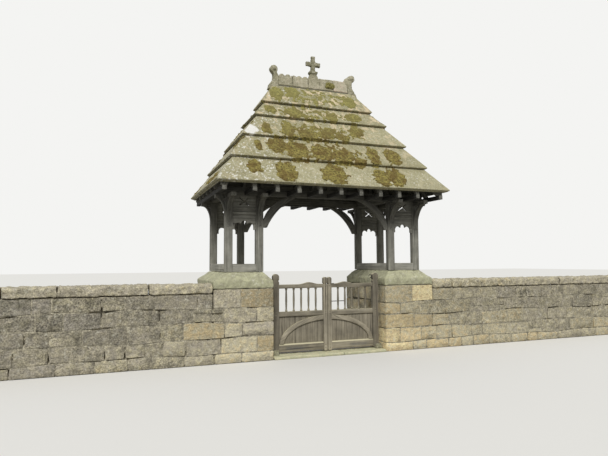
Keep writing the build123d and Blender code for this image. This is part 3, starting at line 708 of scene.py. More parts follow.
def lay_stone(mason, ends, beds, depth, place):
    """Lays one stone between two leaning joints, from its bed up to the next."""
    block, settings, rng = mason
    unit = points_of(block)
    (start, start_lean), (end, end_lean) = ends
    middle = np.array([(start + end) / 2])
    height = float((beds[1](middle) - beds[0](middle))[0]) - settings.joint
    shares = rounded(unit, (end - start, height, depth), settings.roundness * rng.uniform(*EDGE_VARIETY))
    left = start + settings.joint / 2 + start_lean * (shares[:, 1] - 0.5)
    right = end - settings.joint / 2 + end_lean * (shares[:, 1] - 0.5)
    along = left + (right - left) * shares[:, 0]
    low, high = beds[0](along), beds[1](along)
    above_ground = low > MERGE
    up = low + settings.joint / 2 + (high - low - settings.joint) * shares[:, 1]
    chipped = np.array([rng.uniform(0, settings.chips) for _ in unit])
    up -= np.sign(unit[:, 1]) * (np.abs(unit[:, 1]) > BLOCK_SHELL) * chipped * above_ground
    # Only face stones have worn corners
    corner = (unit[:, 0] > 0) * 2 + (unit[:, 1] > 0)
    near = np.abs(unit[:, 0] * unit[:, 1] * 4) ** CORNER_FALL * (depth == FACE_STONE_DEPTH)
    worn = np.array([[rng.uniform(0, reach) for reach in CORNER_WEAR] for _ in range(4)])[corner]
    along -= np.sign(unit[:, 0]) * near * np.minimum(worn[:, 0], (end - start) * CORNER_LIMIT)
    up -= np.sign(unit[:, 1]) * near * np.minimum(worn[:, 1], height * CORNER_LIMIT) * above_ground
    facing = unit[:, 2] > BLOCK_SHELL
    inner = facing & (np.abs(unit[:, :2]) < BLOCK_SHELL).all(axis=1)
    inward = depth * (1 - shares[:, 2]) + rng.uniform(*FACE_SET) * settings.bulge
    inward -= np.where(inner, settings.bulge * np.array([rng.uniform(*FACE_DENTS) for _ in unit]), 0)
    points = place(along, up, np.maximum(inward, 0))
    centre = Vector(points[facing].mean(axis=0))
    tone = stone_tone(centre, rng)
    for spot, notable in NOTABLE_STONES:
        on_face = start <= spot.x <= end and abs(centre.y - spot.y) < NOTABLE_REACH
        if on_face and abs(centre.z - spot.z) < height / 2:
            tone = notable
    return copy_block(block, points, tone)


def lay_course(mason, number, joints, top, depth, place):
    """Lays the stones of one course along one face. Some are two thin stones, one on the other."""
    rng = mason.rng
    stones = []
    leans = [rng.uniform(-JOINT_LEAN, JOINT_LEAN) for _ in joints]
    leans[0] = leans[-1] = 0
    ends = list(zip(joints, leans))

    def low(along):
        return bed_line(number, along, top)

    def high(along):
        return bed_line(number + 1, along, top)

    for pair in zip(ends, ends[1:]):
        beds = [low, high]
        if number and abs(sum(joints)) > 2 * PIER_OUTER and rng.random() < THIN_STONES:
            share = rng.choice([rng.uniform(*limits) for limits in THIN_MEET])
            beds = [low, lambda along, share=share: low(along) * (1 - share) + high(along) * share, high]
        for layer in zip(beds, beds[1:]):
            stones.append(lay_stone(mason, pair, layer, depth, place))
    return stones


def long_face(y, direction):
    """Places stones on a face along X, whose inward side is towards +Y or -Y."""
    return lambda along, up, inward: np.column_stack([along, y + direction * inward, up])


def side_face(x, direction):
    """Places stones on a face that looks along X, with their length along Y."""
    return lambda along, up, inward: np.column_stack([x - direction * inward, along, up])


def mortar_core(name, low, high, recess):
    """The wall's core behind the stones: flush mortar, washed out of the beds in places."""
    deselect()
    bpy.ops.mesh.primitive_cube_add(size=1, location=(low + high) / 2, scale=high - low)
    core = settle(bpy.context.object, name)
    finish_modifier(core, "REMESH", mode="VOXEL", voxel_size=MORTAR_VOXEL)

    def washed(place):
        """How far the mortar has washed out at a place."""
        if not low.z + MORTAR_MARGIN < place.z < high.z - MORTAR_MARGIN:
            return 0.0
        spot = Vector([value * rate for value, rate in zip(place, WASH_RATES)])
        hollow = max(0.0, noise.fractal(spot, *COARSE_FRACTAL) - WASH_LEVEL)
        return -recess * MORTAR_DENTS * noise.noise(place * MORTAR_RATE) - WASH_DEPTH * hollow

    displace(core, washed)
    return core


class Mason(NamedTuple):
    """What lays the masonry: the block its stones are copied from, the sizes set and the random draws."""

    block: bpy.types.Object
    settings: bpy.types.PropertyGroup
    rng: random.Random

    def joints(self, start, end):
        """Joints between stones of the lengths set, from one end to the other."""
        return lengths_between(start, end, self.settings.shortest, self.settings.longest, self.rng)


class LYCHGATE_OT_walls(bpy.types.Operator):
    """Lay the piers and the boundary walls in coursed sandstone rubble"""

    bl_idname = "lychgate.walls"
    bl_label = "Piers and Walls"

    def execute(self, context):
        settings = context.scene.lychgate_masonry
        mason = Mason(model_block(), settings, random.Random(settings.seed))
        for side, direction in SIDES.items():
            self.lay_side(mason, side, direction)
        bpy.data.objects.remove(mason.block)
        return {"FINISHED"}

    def lay_side(self, mason, side, direction):
        """One side's wall and pier: their stones, course by course, and the mortar behind them."""
        stones = {"wall": [], "pier": []}
        for number in range(len(BED_HEIGHTS)):
            corner = (QUOIN_SHORT, QUOIN_LONG) if number % 2 else (QUOIN_LONG, QUOIN_SHORT)
            corner = [size * mason.rng.uniform(*QUOIN_VARIETY) for size in corner]
            for lay in (self.front_course, self.back_course, self.side_course):
                lay(mason, number, direction, corner, stones)
        recess = mason.settings.recess
        inset = Vector((recess, recess, 0))
        spans = {
            "wall": (PIER_OUTER - recess, WALL_END, WALL_LOW.y, WALL_BACK, WALL_HEIGHT),
            "pier": (PIER_OUTER, PASSAGE_HALF, -PIER_FRONT, PIER_FRONT, PIER_HEIGHT),
        }
        for node, (start, end, front, back, height) in spans.items():
            rubble = join(stones[node], f"{side}_{node}_stones")
            face_outwards(rubble)
            smooth(rubble, SOFT_ANGLE)
            left, right = sorted((direction * start, direction * end))
            low = Vector((left, front, 0.0)) + inset
            high = Vector((right, back, height)) - inset
            core = mortar_core(f"{side}_{node}_mortar", low, high, recess)
            for piece, material in ((rubble, "rubble_sandstone"), (core, "lime_mortar")):
                finish_piece(piece, material, "rubble_sandstone", node=f"{side}_{node}")

    def front_course(self, mason, number, direction, corner, stones):
        """The front: a corner stone, face stones past the pier and along the wall, and a through stone."""
        through = WALL_END - mason.rng.uniform(QUOIN_SHORT, QUOIN_LONG)
        stops = [PASSAGE_HALF + corner[0], through]
        if number + 1 == len(BED_HEIGHTS):
            stops.insert(1, PIER_OUTER)
        runs = [([PASSAGE_HALF, stops[0]], corner[1])]
        runs += [(mason.joints(*pair), FACE_STONE_DEPTH) for pair in zip(stops, stops[1:])]
        runs.append(([through, WALL_END], WALL_BACK - WALL_LOW.y))
        face = long_face(WALL_LOW.y, 1)
        for joints, depth in runs:
            for pair in zip(joints, joints[1:]):
                node, height = ("pier", PIER_HEIGHT) if sum(pair) / 2 < PIER_OUTER else ("wall", WALL_HEIGHT)
                ends = sorted(direction * joint for joint in pair)
                stones[node] += lay_course(mason, number, ends, height, depth, face)

    def back_course(self, mason, number, direction, corner, stones):
        """The back: face stones along the wall, and between two corner stones along the pier."""
        joints = sorted(direction * joint for joint in mason.joints(PIER_OUTER, WALL_END - QUOIN_SHORT))
        face = long_face(WALL_BACK, -1)
        stones["wall"] += lay_course(mason, number, joints, WALL_HEIGHT, FACE_STONE_DEPTH, face)
        stops = [PASSAGE_HALF, PASSAGE_HALF + corner[0], PIER_OUTER - corner[0], PIER_OUTER]
        face = long_face(PIER_FRONT, -1)
        for start, end, depth in zip(stops, stops[1:], (corner[1], FACE_STONE_DEPTH, corner[1])):
            joints = sorted((direction * start, direction * end))
            stones["pier"] += lay_course(mason, number, joints, PIER_HEIGHT, depth, face)

    def side_course(self, mason, number, direction, corner, stones):
        """The pier's two sides, between the stones of its corners."""
        inner = side_face(direction * PASSAGE_HALF, -direction)
        outer = side_face(direction * PIER_OUTER, direction)
        for face, start in ((inner, -PIER_FRONT + corner[1]), (outer, WALL_BACK)):
            joints = mason.joints(start, PIER_FRONT - corner[1])
            stones["pier"] += lay_course(mason, number, joints, PIER_HEIGHT, FACE_STONE_DEPTH, face)


def weather(piece, voxel, soften, lump, lump_size):
    """Wears a dressed stone: remeshes it evenly, softens its edges and dents its faces."""
    finish_modifier(piece, "REMESH", mode="VOXEL", voxel_size=voxel)
    finish_modifier(piece, "SMOOTH", factor=0.5, iterations=soften)
    displace(piece, lambda place: (noise.fractal(place / lump_size, *FINE_FRACTAL) - 0.5) * lump)
    smooth(piece, SOFT_ANGLE)


def dressed_stones(node, joints, name, axis, wear, tones, joint=STONE_JOINT):
    """Cuts a node into stones at its joints, wears each stone, gives it the next tone and joins them."""
    stones = []
    for start, end in zip(joints, joints[1:]):
        stone = cut_between(node, name, axis, start + joint / 2, end - joint / 2)
        weather(stone, *wear)
        set_tone(stone, next(tones))
        stones.append(stone)
    return join(stones, name)


class LYCHGATE_OT_copings(bpy.types.Operator):
    """Cut the coping stones of the piers and walls, and the threshold stone"""

    bl_idname = "lychgate.copings"
    bl_label = "Copings and Threshold"

    def execute(self, context):
        rng = random.Random(context.scene.lychgate_masonry.seed + 1)
        for side, direction in SIDES.items():
            node = f"{side}_wall_coping"
            joints = sorted(direction * joint for joint in [PIER_OUTER, *WALL_COPING_JOINTS[side], WALL_END])
            tones = coping_tones(rng, *WALL_COPING_TONES[side])
            name = f"{node}_stones"
            stones = dressed_stones(node, joints, name, "X", WALL_COPING_WEAR, tones, WALL_COPING_JOINT)
            finish_piece(stones, "rubble_sandstone", "dressed_sandstone", node=node)
            node = f"{side}_pier_coping"
            joints = [-PIER_FRONT, *PIER_COPING_JOINTS, PIER_FRONT]
            tones = coping_tones(rng, *PIER_COPING_TONES)
            stones = dressed_stones(node, joints, f"{node}_stones", "Y", PIER_COPING_WEAR, tones)
            finish_piece(stones, "dressed_sandstone", "dressed_sandstone", node=node)
        node = "threshold_stone"
        joints = [-PASSAGE_HALF, THRESHOLD_JOINT, PASSAGE_HALF]
        tones = iter([THRESHOLD_TONE] * 2)
        slabs = dressed_stones(node, joints, "threshold_slabs", "X", THRESHOLD_WEAR, tones)
        finish_piece(slabs, "dressed_sandstone", "dressed_sandstone", node=node)
        finish_piece(self.foot_stones(rng), "dressed_sandstone", "dressed_sandstone")
        return {"FINISHED"}

    def foot_stones(self, rng):
        """A small worn stone on each end of the threshold, in front of the hanging stile's foot."""
        stones = []
        for side, direction in SIDES.items():
            size = Vector(FOOT_STONE)
            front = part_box(f"{side}_gate_frame")[0].y - FOOT_STONE_GAP
            x = direction * (PASSAGE_HALF - FOOT_STONE_GAP - size.x / 2)
            middle = Vector((x, front - size.y / 2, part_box("threshold_stone")[1].z + size.z / 2))
            deselect()
            bpy.ops.mesh.primitive_cube_add(size=1, location=middle, scale=size)
            stone = settle(bpy.context.object, side)
            edit_faces(stone, lambda polygon: polygon.normal.z > 0.9)
            top = middle + Vector((0, 0, size.z / 2))
            bpy.ops.transform.resize(value=FOOT_STONE_TAPER, center_override=top)
            bpy.ops.mesh.select_mode(type="VERT")
            done()
            weather(stone, *FOOT_STONE_WEAR)
            set_tone(stone, (rng.uniform(*FOOT_STONE_WARMTH), *FOOT_STONE_TONE))
            stones.append(stone)
        return join(stones, "foot_stones")


def slope_place(face):
    """Places points on one slope from their distance along the eave, up the slope and out from it."""
    eave = EAVE_Y if face in ("front", "back") else EAVE_X

    def place(along, up, out):
        height = EAVE_Z + up * math.sin(ROOF_PITCH) + out * math.cos(ROOF_PITCH)
        reach = eave - (up * math.cos(ROOF_PITCH) - out * math.sin(ROOF_PITCH))
        columns = {
            "front": (along, -reach, height),
            "back": (-along, reach, height),
            "left": (-reach, -along, height),
            "right": (reach, along, height),
        }
        return np.column_stack(columns[face])

    return place


def hip_reach(face, up, out):
    """How far a slope reaches to each side at a point up it, as far as its hips."""
    inward = up * math.cos(ROOF_PITCH) - out * math.sin(ROOF_PITCH)
    half = EAVE_X if face in ("front", "back") else EAVE_Y
    return half - inward


def slate_surface(up):
    """How far the slates' upper face lies below the plane of their lower edges, by distance up the slope."""
    start = 0.0
    for length in COURSES:
        if up < start + length:
            return -SLATE_STEP * (up - start) / length
        start += length
    return -TOP_STEP * min(1.0, (up - start) / TOP_COURSE)


def lay_slate(block, face, span, run, outs, rounding, tone, rng, ragged=SLATE_RAGGED):
    """Lays one slate: its span along the eave, its run up the slope, and how far out its ends lie."""
    unit = points_of(block)
    start, end = span
    (foot_low, foot_high), (head_low, head_high) = outs
    wide = (end or hip_reach(face, run[0], 0)) - (start or -hip_reach(face, run[0], 0))
    shares = rounded(unit, (max(wide, SLATE_NARROWEST), run[1] - run[0], foot_high - foot_low), rounding)
    up = run[0] + (run[1] - run[0]) * shares[:, 1]
    low = foot_low + (head_low - foot_low) * shares[:, 1]
    high = foot_high + (head_high - foot_high) * shares[:, 1]
    out = low + (high - low) * shares[:, 2]
    up += np.where(unit[:, 1] < -BLOCK_SHELL, np.array([rng.uniform(0, ragged) for _ in unit]), 0)
    reach = hip_reach(face, up, out)
    left = -reach if start is None else np.full_like(up, start)
    right = reach if end is None else np.full_like(up, end)
    along = left + (right - left) * shares[:, 0]
    return copy_block(block, slope_place(face)(along, up, out), tone)


def lay_slope(block, face, settings, rng):
    """Lays one slope in courses, with a row of short slates under the first."""
    rows = []
    start = 0.0
    for length in [*COURSES, TOP_COURSE]:
        lap = min(SLATE_LAP, SLOPE_LENGTH - start - length - RIDGE_ROLL / 2)
        step = TOP_STEP if length == TOP_COURSE else SLATE_STEP
        lift = -step * (length + lap) / length
        rows.append((start, start + length + lap, 0.0, lift, SLATE_THICKNESS))
        start += length
    under_start, under_end, fall, under_thickness = UNDER_SLATES
    rows.append((under_start, under_end, -SLATE_THICKNESS, -SLATE_THICKNESS - fall, under_thickness))
    slates = []
    joint = settings.joint / 2
    rounding = (settings.side_edge, settings.edge, settings.edge)
    for low, high, out_low, out_high, thickness in rows:
        reach = hip_reach(face, high, 0.0)
        if reach < settings.shortest:
            joints = [0.0] if reach > LEAST_REACH else []
        else:
            sides = (settings.shortest, settings.longest)
            joints = lengths_between(-reach + HIP_MARGIN, reach - HIP_MARGIN, *sides, rng)
            joints = joints[1:-1]
        ends = [None, *joints, None]
        for left, right in zip(ends, ends[1:]):
            tilt = rng.uniform(0, SLATE_TILT)
            head = (out_high - thickness * SLATE_THINNING, out_high)
            outs = ((out_low - thickness - tilt, out_low - tilt), head)
            span = (None if left is None else left + joint, None if right is None else right - joint)
            tone = drawn_tone(rng, *SLATE_TONES)
            run = (low + rng.uniform(0, SLATE_SHIFT), high)
            slates.append(lay_slate(block, face, span, run, outs, rounding, tone, rng))
    return slates


def lay_boards(block, face, rng):
    """Lays the boards that show between the rafters, row on row up the slope."""
    boards = []
    low = -ROOF_THICKNESS + MM
    outs = ((low, low + BOARD_THICKNESS),) * 2
    up = FIRST_BOARD
    while up < SLOPE_LENGTH - BOARD_WIDTH:
        run = (up, up + BOARD_WIDTH - BOARD_GAP)
        boards.append(lay_slate(block, face, (None, None), run, outs, BOARD_EDGE, PLAIN_TONE, rng, 0.0))
        up += BOARD_WIDTH
    return boards


class LYCHGATE_OT_slates(bpy.types.Operator):
    """Lay the four slopes in stone slates on oak boards"""

    bl_idname = "lychgate.slates"
    bl_label = "Roof Slates"

    def execute(self, context):
        settings = context.scene.lychgate_roof
        rng = random.Random(settings.seed)
        block = model_block()
        for face in FACES:
            slates = join(lay_slope(block, face, settings, rng), f"{face}_slates")
            boards = join(lay_boards(block, face, rng), f"{face}_roof_boards")
            finishes = ((slates, "stone_slate", "stone_slate"), (boards, "frame_oak", "weathered_oak"))
            for piece, material, slot in finishes:
                face_outwards(piece)
                smooth(piece, CRISP_ANGLE)
                finish_piece(piece, material, slot, node=f"{face}_roof_slope")
            lay_grain(boards, rng, BOARD_LIGHT)
        bpy.data.objects.remove(block)
        return {"FINISHED"}


def moss_depth(face, along, up):
    """Height of the moss at a place on a slope, or nought where the slate is bare."""

    def nearness(clump):
        """How far inside a clump the place is: one at its middle, nought at its edge, and less outside."""
        middle, height, half_width, half_height = clump
        return 1.0 - math.hypot((along - middle) / half_width, (up - height) / half_height)

    spot = Vector((along, up, SLOPES_APART * FACES.index(face)))
    if face == "front":
        clumps = [CLUMP_RISE * (CLUMP_OVER + nearness(clump)) for clump in MOSS_CLUMPS]
        less = MOTTLE_LESS[0] if up < MOTTLE_CHANGE else MOTTLE_LESS[1]
        mottles = [min(MOTTLE_MOST, MOTTLE_RISE * nearness(mottle)) - less for mottle in MOSS_MOTTLES]
        thick = max(-1.0, *clumps, *mottles)
    else:
        thick = PATCH_STRENGTH * noise.fractal(spot * PATCH_RATE, *PATCH_FRACTAL) - PATCH_LESS
    thick += SPECKLE * noise.fractal(spot * SPECKLE_RATE + SPECKLE_START, *SPECKLE_FRACTAL)
    if thick <= LEAST_MOSS:
        return 0.0
    tuft = sum((strength * noise.noise(spot * rate) for strength, rate in TUFT_WAVES), TUFT_MIDDLE)
    return MOSS_HEIGHT * min(1.0, math.sqrt(min(thick, 1.0)) * MOSS_RISE) * max(TUFT_LEAST, tuft)


def grow_moss(face):
    """Grows moss on one slope as a low blanket, cut away where the slate is bare."""
    reach = EAVE_X if face in ("front", "back") else EAVE_Y
    top = SLOPE_LENGTH - RIDGE_ROLL
    columns, rows = int(2 * reach / MOSS_CELL), int(top / MOSS_CELL)
    deselect()
    bpy.ops.mesh.primitive_grid_add(x_subdivisions=columns, y_subdivisions=rows, size=1)
    blanket = bpy.context.object
    grid = points_of(blanket)
    along, up = grid[:, 0] * 2 * reach, (grid[:, 1] + 0.5) * top
    limit = hip_reach(face, up, 0.0) - MOSS_HIP_GAP
    on_slope = (np.abs(along) < limit) & (up > MOSS_EAVE_GAP)
    places = zip(along, up, on_slope)
    depth = np.array([moss_depth(face, *place) if inside else 0.0 for *place, inside in places])
    surface = np.array([slate_surface(u) for u in up])
    points = slope_place(face)(along, up, surface - MOSS_SUNK + depth)
    blanket.data.vertices.foreach_set("co", points.astype(np.float32).ravel())
    blanket.data.update()
    bare = depth <= 0.0
    edit_faces(blanket, lambda polygon: sum(bool(bare[index]) for index in polygon.vertices) > 2)
    bpy.ops.mesh.delete(type="FACE")
    bpy.ops.mesh.select_mode(type="VERT")
    done()
    finish_modifier(blanket, "SOLIDIFY", thickness=MOSS_DEPTH, offset=-1.0)
    face_outwards(blanket)
    return settle(blanket, f"{face}_moss")


def grow_cushion():
    """Grows the one cushion of moss on the worn crest."""
    deselect()
    ball = {"subdivisions": 5, "radius": 0.5}
    bpy.ops.mesh.primitive_ico_sphere_add(location=CREST_MOSS, scale=CREST_MOSS_SIZE, **ball)
    cushion = settle(bpy.context.object, "crest_moss")
    displace(
        cushion, lambda place: CREST_MOSS_LUMP * noise.fractal(place * CREST_MOSS_RATE, *COARSE_FRACTAL)
    )
    return cushion


class LYCHGATE_OT_moss(bpy.types.Operator):
    """Grow moss over the slates, in clumps as on the real roof, and a cushion on the crest"""

    bl_idname = "lychgate.moss"
    bl_label = "Moss"

    def execute(self, context):
        for moss in [*map(grow_moss, FACES), grow_cushion()]:
            smooth(moss, SOFT_ANGLE)
            finish_piece(moss, "moss", "stone_slate")
        return {"FINISHED"}


def carve_terminal(name, direction):
    """One ridge end: a neck that is hollow on its outer side and curls over into a scroll."""
    neck = cut_between("ridge_terminals", name, "X", *sorted((0.0, direction)))
    level = {"rotation": (math.pi / 2, 0, 0)}
    deselect()
    place = (direction * HOLLOW_X, 0, HOLLOW_Z)
    size = {"radius": HOLLOW_RADIUS, "depth": HOLLOW_WIDTH}
    bpy.ops.mesh.primitive_cylinder_add(vertices=64, location=place, **size, **level)
    hollow = settle(bpy.context.object, "hollow")
    finish_modifier(neck, "BOOLEAN", object=hollow, operation="DIFFERENCE", solver="EXACT")
    bpy.data.objects.remove(hollow)
    deselect()
    middle = Vector((direction * SCROLL_X, 0.0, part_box("ridge_terminals")[1].z - SCROLL_RADIUS))
    size = {"radius": SCROLL_RADIUS, "depth": SCROLL_WIDTH}
    bpy.ops.mesh.primitive_cylinder_add(vertices=40, location=middle, **size, **level)
    scroll = settle(bpy.context.object, name)
    bevel(scroll, SCROLL_EDGE, 3)
    parts = [neck, scroll]
    x, y, z = EYE_OFFSET
    for facing in (-1, 1):
        deselect()
        place = middle + Vector((direction * x, facing * y, z))
        bpy.ops.mesh.primitive_uv_sphere_add(segments=20, ring_count=10, radius=EYE_RADIUS, location=place)
        parts.append(settle(bpy.context.object, name))
    return join(parts, name)


def wear_shoulder(terminal):
    """Fills the angle between the right ridge end and the crest, where the stone has crumbled to a slope."""
    deselect()
    ball = {"segments": 24, "ring_count": 12, "radius": 0.5}
    bpy.ops.mesh.primitive_uv_sphere_add(location=SHOULDER, scale=SHOULDER_SIZE, **ball)
    return join([terminal, settle(bpy.context.object, "shoulder")], "right_terminal")


class LYCHGATE_OT_ridge(bpy.types.Operator):
    """Carve the ridge crest, its scrolled ends and the cross"""

    bl_idname = "lychgate.ridge"
    bl_label = "Ridge and Cross"

    def execute(self, context):
        rng = random.Random(context.scene.lychgate_roof.seed + 2)
        low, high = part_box("ridge_crest")
        joints = [low.x - CREST_OVER, *CREST_JOINTS, high.x + CREST_OVER]
        tones = iter(CREST_TONES)
        crest = dressed_stones("ridge_crest", joints, "ridge_crest_stones", "X", CREST_WEAR, tones)
        left = carve_terminal("left_terminal", -1)
        right = wear_shoulder(carve_terminal("right_terminal", 1))
        for terminal, side in ((left, "left"), (right, "right")):
            weather(terminal, *TERMINAL_WEAR[side])
            set_tone(terminal, drawn_tone(rng, *TERMINAL_TONES))
        ends = join([left, right], "ridge_scrolls")
        cross = copy_of("ridge_cross", "carved_cross")
        weather(cross, *CROSS_WEAR)
        # The cross is greener and darker than the crest stone that it grows out of
        share = np.clip((points_of(cross)[:, 2] - high.z) / CROSS_FADE, 0, 1)[:, None]
        blend = (1 - share) * np.array((*CREST_TONES[1], 1.0)) + share * np.array((*CROSS_TONE, 1.0))
        store_points(cross, "tone", "FLOAT_COLOR", "color", blend)
        for piece, node in ((crest, "ridge_crest"), (ends, "ridge_terminals"), (cross, "ridge_cross")):
            finish_piece(piece, "ridge_stone", "ridge_stone", node=node)
        return {"FINISHED"}


def shade_and_weather_sides(piece, ends_light, sides_light):
    """Paints the square ends of eave timbers pale, weathered and lit, and darkens the rest of them, oak that
    no rain reaches, with painted shade under the eaves.
    """
    reach = np.abs(points_of(piece)[:, 1])
    ends = reach > reach.max() - TRACERY_ARRIS
    tones = np.where(ends, ends_light, sides_light)[:, None] * np.ones(4)
    store_points(piece, "tone", "FLOAT_COLOR", "color", tones)


class LYCHGATE_OT_timbers(bpy.types.Operator):
    """Dress the oak frame: posts, plates, braces, tracery, joists and rafters"""

    bl_idname = "lychgate.timbers"
    bl_label = "Oak Frame"

    def execute(self, context):
        settings = context.scene.lychgate_timber
        rng = random.Random(settings.seed)
        for node, light in FRAME_NODES.items():
            piece = copy_of(node, f"{node}_oak")
            bevel(piece, settings.arris)
            lay_grain(piece, rng, light)
            if node in EAVE_TIMBERS:
                shade_and_weather_sides(piece, *EAVE_TIMBERS[node])
            self.finish(piece, node)
        for node in ("front_tracery", "back_tracery"):
            self.finish(self.panels(node, rng), node)
        return {"FINISHED"}

    def finish(self, piece, node):
        """Shades one of the frame's pieces and hands it over."""
        smooth(piece, CRISP_ANGLE)
        finish_piece(piece, "frame_oak", "weathered_oak", node=node)

    def panels(self, node, rng):
        """The pierced panels, cut where they meet their rails so that each layer has its own grain."""
        low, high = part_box(node)
        layers = []
        for start, end, light in zip([low.z - CUT, *RAIL_EDGES], [*RAIL_EDGES, high.z + CUT], LAYER_LIGHTS):
            layer = cut_between(node, node, "Z", start + CUT, end - CUT)
            bevel(layer, TRACERY_ARRIS)
            lay_grain(layer, rng, light)
            layers.append(layer)
        return join(layers, f"{node}_oak")


def turn(name, profile, sides=16):
    """Turns a piece from its profile, by extruding a disc upwards and resizing it at each step."""
    deselect()
    radius, height = (value * MM for value in profile[0])
    disc = {"vertices": sides, "radius": radius, "fill_type": "NGON"}
    bpy.ops.mesh.primitive_circle_add(location=(0, 0, height), **disc)
    piece = bpy.context.object
    edit(piece)
    for next_radius, next_height in [(r * MM, h * MM) for r, h in profile[1:]]:
        rise = next_height - height
        bpy.ops.mesh.extrude_region_move(TRANSFORM_OT_translate={"value": (0, 0, rise)})
        scale = next_radius / radius
        bpy.ops.transform.resize(value=(scale, scale, 1), center_override=(0, 0, next_height))
        radius, height = next_radius, next_height
    done()
    settle(piece, name)
    face_outwards(piece)
    return piece


def drive_pegs(places, radius, rng):
    """Drives oak pegs into front faces at the places given, each standing a little proud."""
    pegs = []
    size = {"radius": radius, "depth": PEG_LENGTH}
    for place in places:
        deselect()
        deep = place + Vector((0, PEG_LENGTH / 2 - PEG_PROUD, 0))
        turned = (math.pi / 2, rng.uniform(0, 1), 0)
        bpy.ops.mesh.primitive_cylinder_add(vertices=10, location=deep, rotation=turned, **size)
        peg = settle(bpy.context.object, "peg")
        bevel(peg, PEG_BEVEL, 1)
        pegs.append(peg)
    joined = join(pegs, "pegs")
    lay_grain(joined, rng, PEG_LIGHT)
    return joined


class LYCHGATE_OT_gates(bpy.types.Operator):
    """Build the two leaves: stiles and rails, turned balusters, boards and the planted arch"""

    bl_idname = "lychgate.gates"
    bl_label = "Gates"

    def execute(self, context):
        settings = context.scene.lychgate_timber
        rng = random.Random(settings.seed + 1)
        block = model_block()
        baluster = turn("baluster", BALUSTER_PROFILE)
        for side in SIDES:
            arch = copy_of(f"{side}_gate_arch", f"{side}_planted_arch")
            bevel(arch, ARCH_ARRIS)
            lay_grain(arch, rng, ARCH_LIGHT)
            pieces = {
                "gate_frame": self.frame(side, settings, rng),
                "gate_boards": self.boards(block, side, rng),
                "gate_balusters": self.balusters(baluster, side, rng),
                "gate_arch": arch,
            }
            for node, piece in pieces.items():
                smooth(piece, CRISP_ANGLE)
                finish_piece(piece, "gate_oak", "gate_oak", f"{side}_gate", f"{side}_{node}")
        bpy.data.objects.remove(block)
        bpy.data.objects.remove(baluster)
        return {"FINISHED"}

    def frame(self, side, settings, rng):
        """Stiles and rails cut from the leaf where they meet, each with its own arrises, and their pegs."""
        low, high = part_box(f"{side}_gate_frame")
        boards_low, boards_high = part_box(f"{side}_gate_boards")
        starts = (low.x - CUT, boards_low.x + CUT, boards_high.x + CUT)
        ends = (boards_low.x - CUT, boards_high.x - CUT, high.x + CUT)
        members = []
        for start, end, light in zip(starts, ends, LEAF_LIGHTS[side]):
            member = cut_between(f"{side}_gate_frame", side, "X", start, end)
            bevel(member, settings.gate_arris)
            lay_grain(member, rng, light)
            members.append(member)
        for start, end in ((low.x, boards_low.x), (boards_high.x, high.x)):
            places = [Vector(((start + end) / 2, low.y, z)) for z in GATE_PEG_HEIGHTS]
            members.append(drive_pegs(places, settings.peg_radius, rng))
        return join(members, f"{side}_leaf_frame")

    def boards(self, block, side, rng):
        """Vertical boards with a worn joint between each and the next."""
        low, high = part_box(f"{side}_gate_boards")
        width = (high.x - low.x) / GATE_BOARD_COUNT
        boards = []
        for number in range(GATE_BOARD_COUNT):
            left = low.x + width * number + GATE_BOARD_GAP / 2
            start = Vector((left, low.y + rng.uniform(0, GATE_BOARD_GAP), low.z))
            size = Vector((width - GATE_BOARD_GAP, high.y - start.y, high.z - low.z))
            shares = rounded(points_of(block), size, GATE_BOARD_EDGE)
            boards.append(copy_block(block, np.array(start) + shares * np.array(size), PLAIN_TONE))
        boarding = join(boards, f"{side}_boards")
        lay_grain(boarding, rng, GATE_BOARD_LIGHT)
        return boarding

    def balusters(self, baluster, side, rng):
        """Turned balusters, evenly spaced between the stiles."""
        low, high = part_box(f"{side}_gate_balusters")
        radius = BALUSTER_PROFILE[0][0] * MM
        copies = []
        for number in range(BALUSTER_COUNT):
            share = number / (BALUSTER_COUNT - 1)
            x = low.x + radius + (high.x - low.x - 2 * radius) * share
            copy = baluster.copy()
            copy.data = baluster.data.copy()
            copy.location = (x, (low.y + high.y) / 2, low.z)
            bpy.context.scene.collection.objects.link(copy)
            copies.append(copy)
        row = join([settle(copy, side) for copy in copies], f"{side}_turned_balusters")
        lay_grain(row, rng, BALUSTER_LIGHT)
        return row


class LYCHGATE_OT_ironwork(bpy.types.Operator):
    """Forge the strap hinges, their pins and the latch"""

    bl_idname = "lychgate.ironwork"
    bl_label = "Ironwork"

    def execute(self, context):
        pieces = {
            "left_gate_hinges": "left_gate",
            "right_gate_hinges": "right_gate",
            "gate_pintles": "gateway",
            "gate_latch": "right_gate",
        }
        for node, body in pieces.items():
            piece = copy_of(node, f"{node}_iron")
            bevel(piece, IRON_ARRIS)
            smooth(piece, CRISP_ANGLE)
            finish_piece(piece, "wrought_iron", "wrought_iron", body, node)
        return {"FINISHED"}


MATERIALS = {}
# A colour mix's sockets and settings
FACTOR, UNDER, OVER = 0, 6, 7
MIX = {"data_type": "RGBA"}
MULTIPLY = {"data_type": "RGBA", "blend_type": "MULTIPLY"}


def per_metre(millimetres):
    """A texture's scale for features of a real size."""
    return 1000.0 / millimetres


def features(millimetres, detail, roughness, distortion=0.0):
    """What a noise is given for features of a real size."""
    scale = per_metre(millimetres)
    return {"Scale": scale, "Detail": detail, "Roughness": roughness, "Distortion": distortion}


def ranges(start, end, first, last):
    """What a map range is given: where it starts and ends, and its values there."""
    return {"From Min": start, "From Max": end, "To Min": first, "To Max": last}


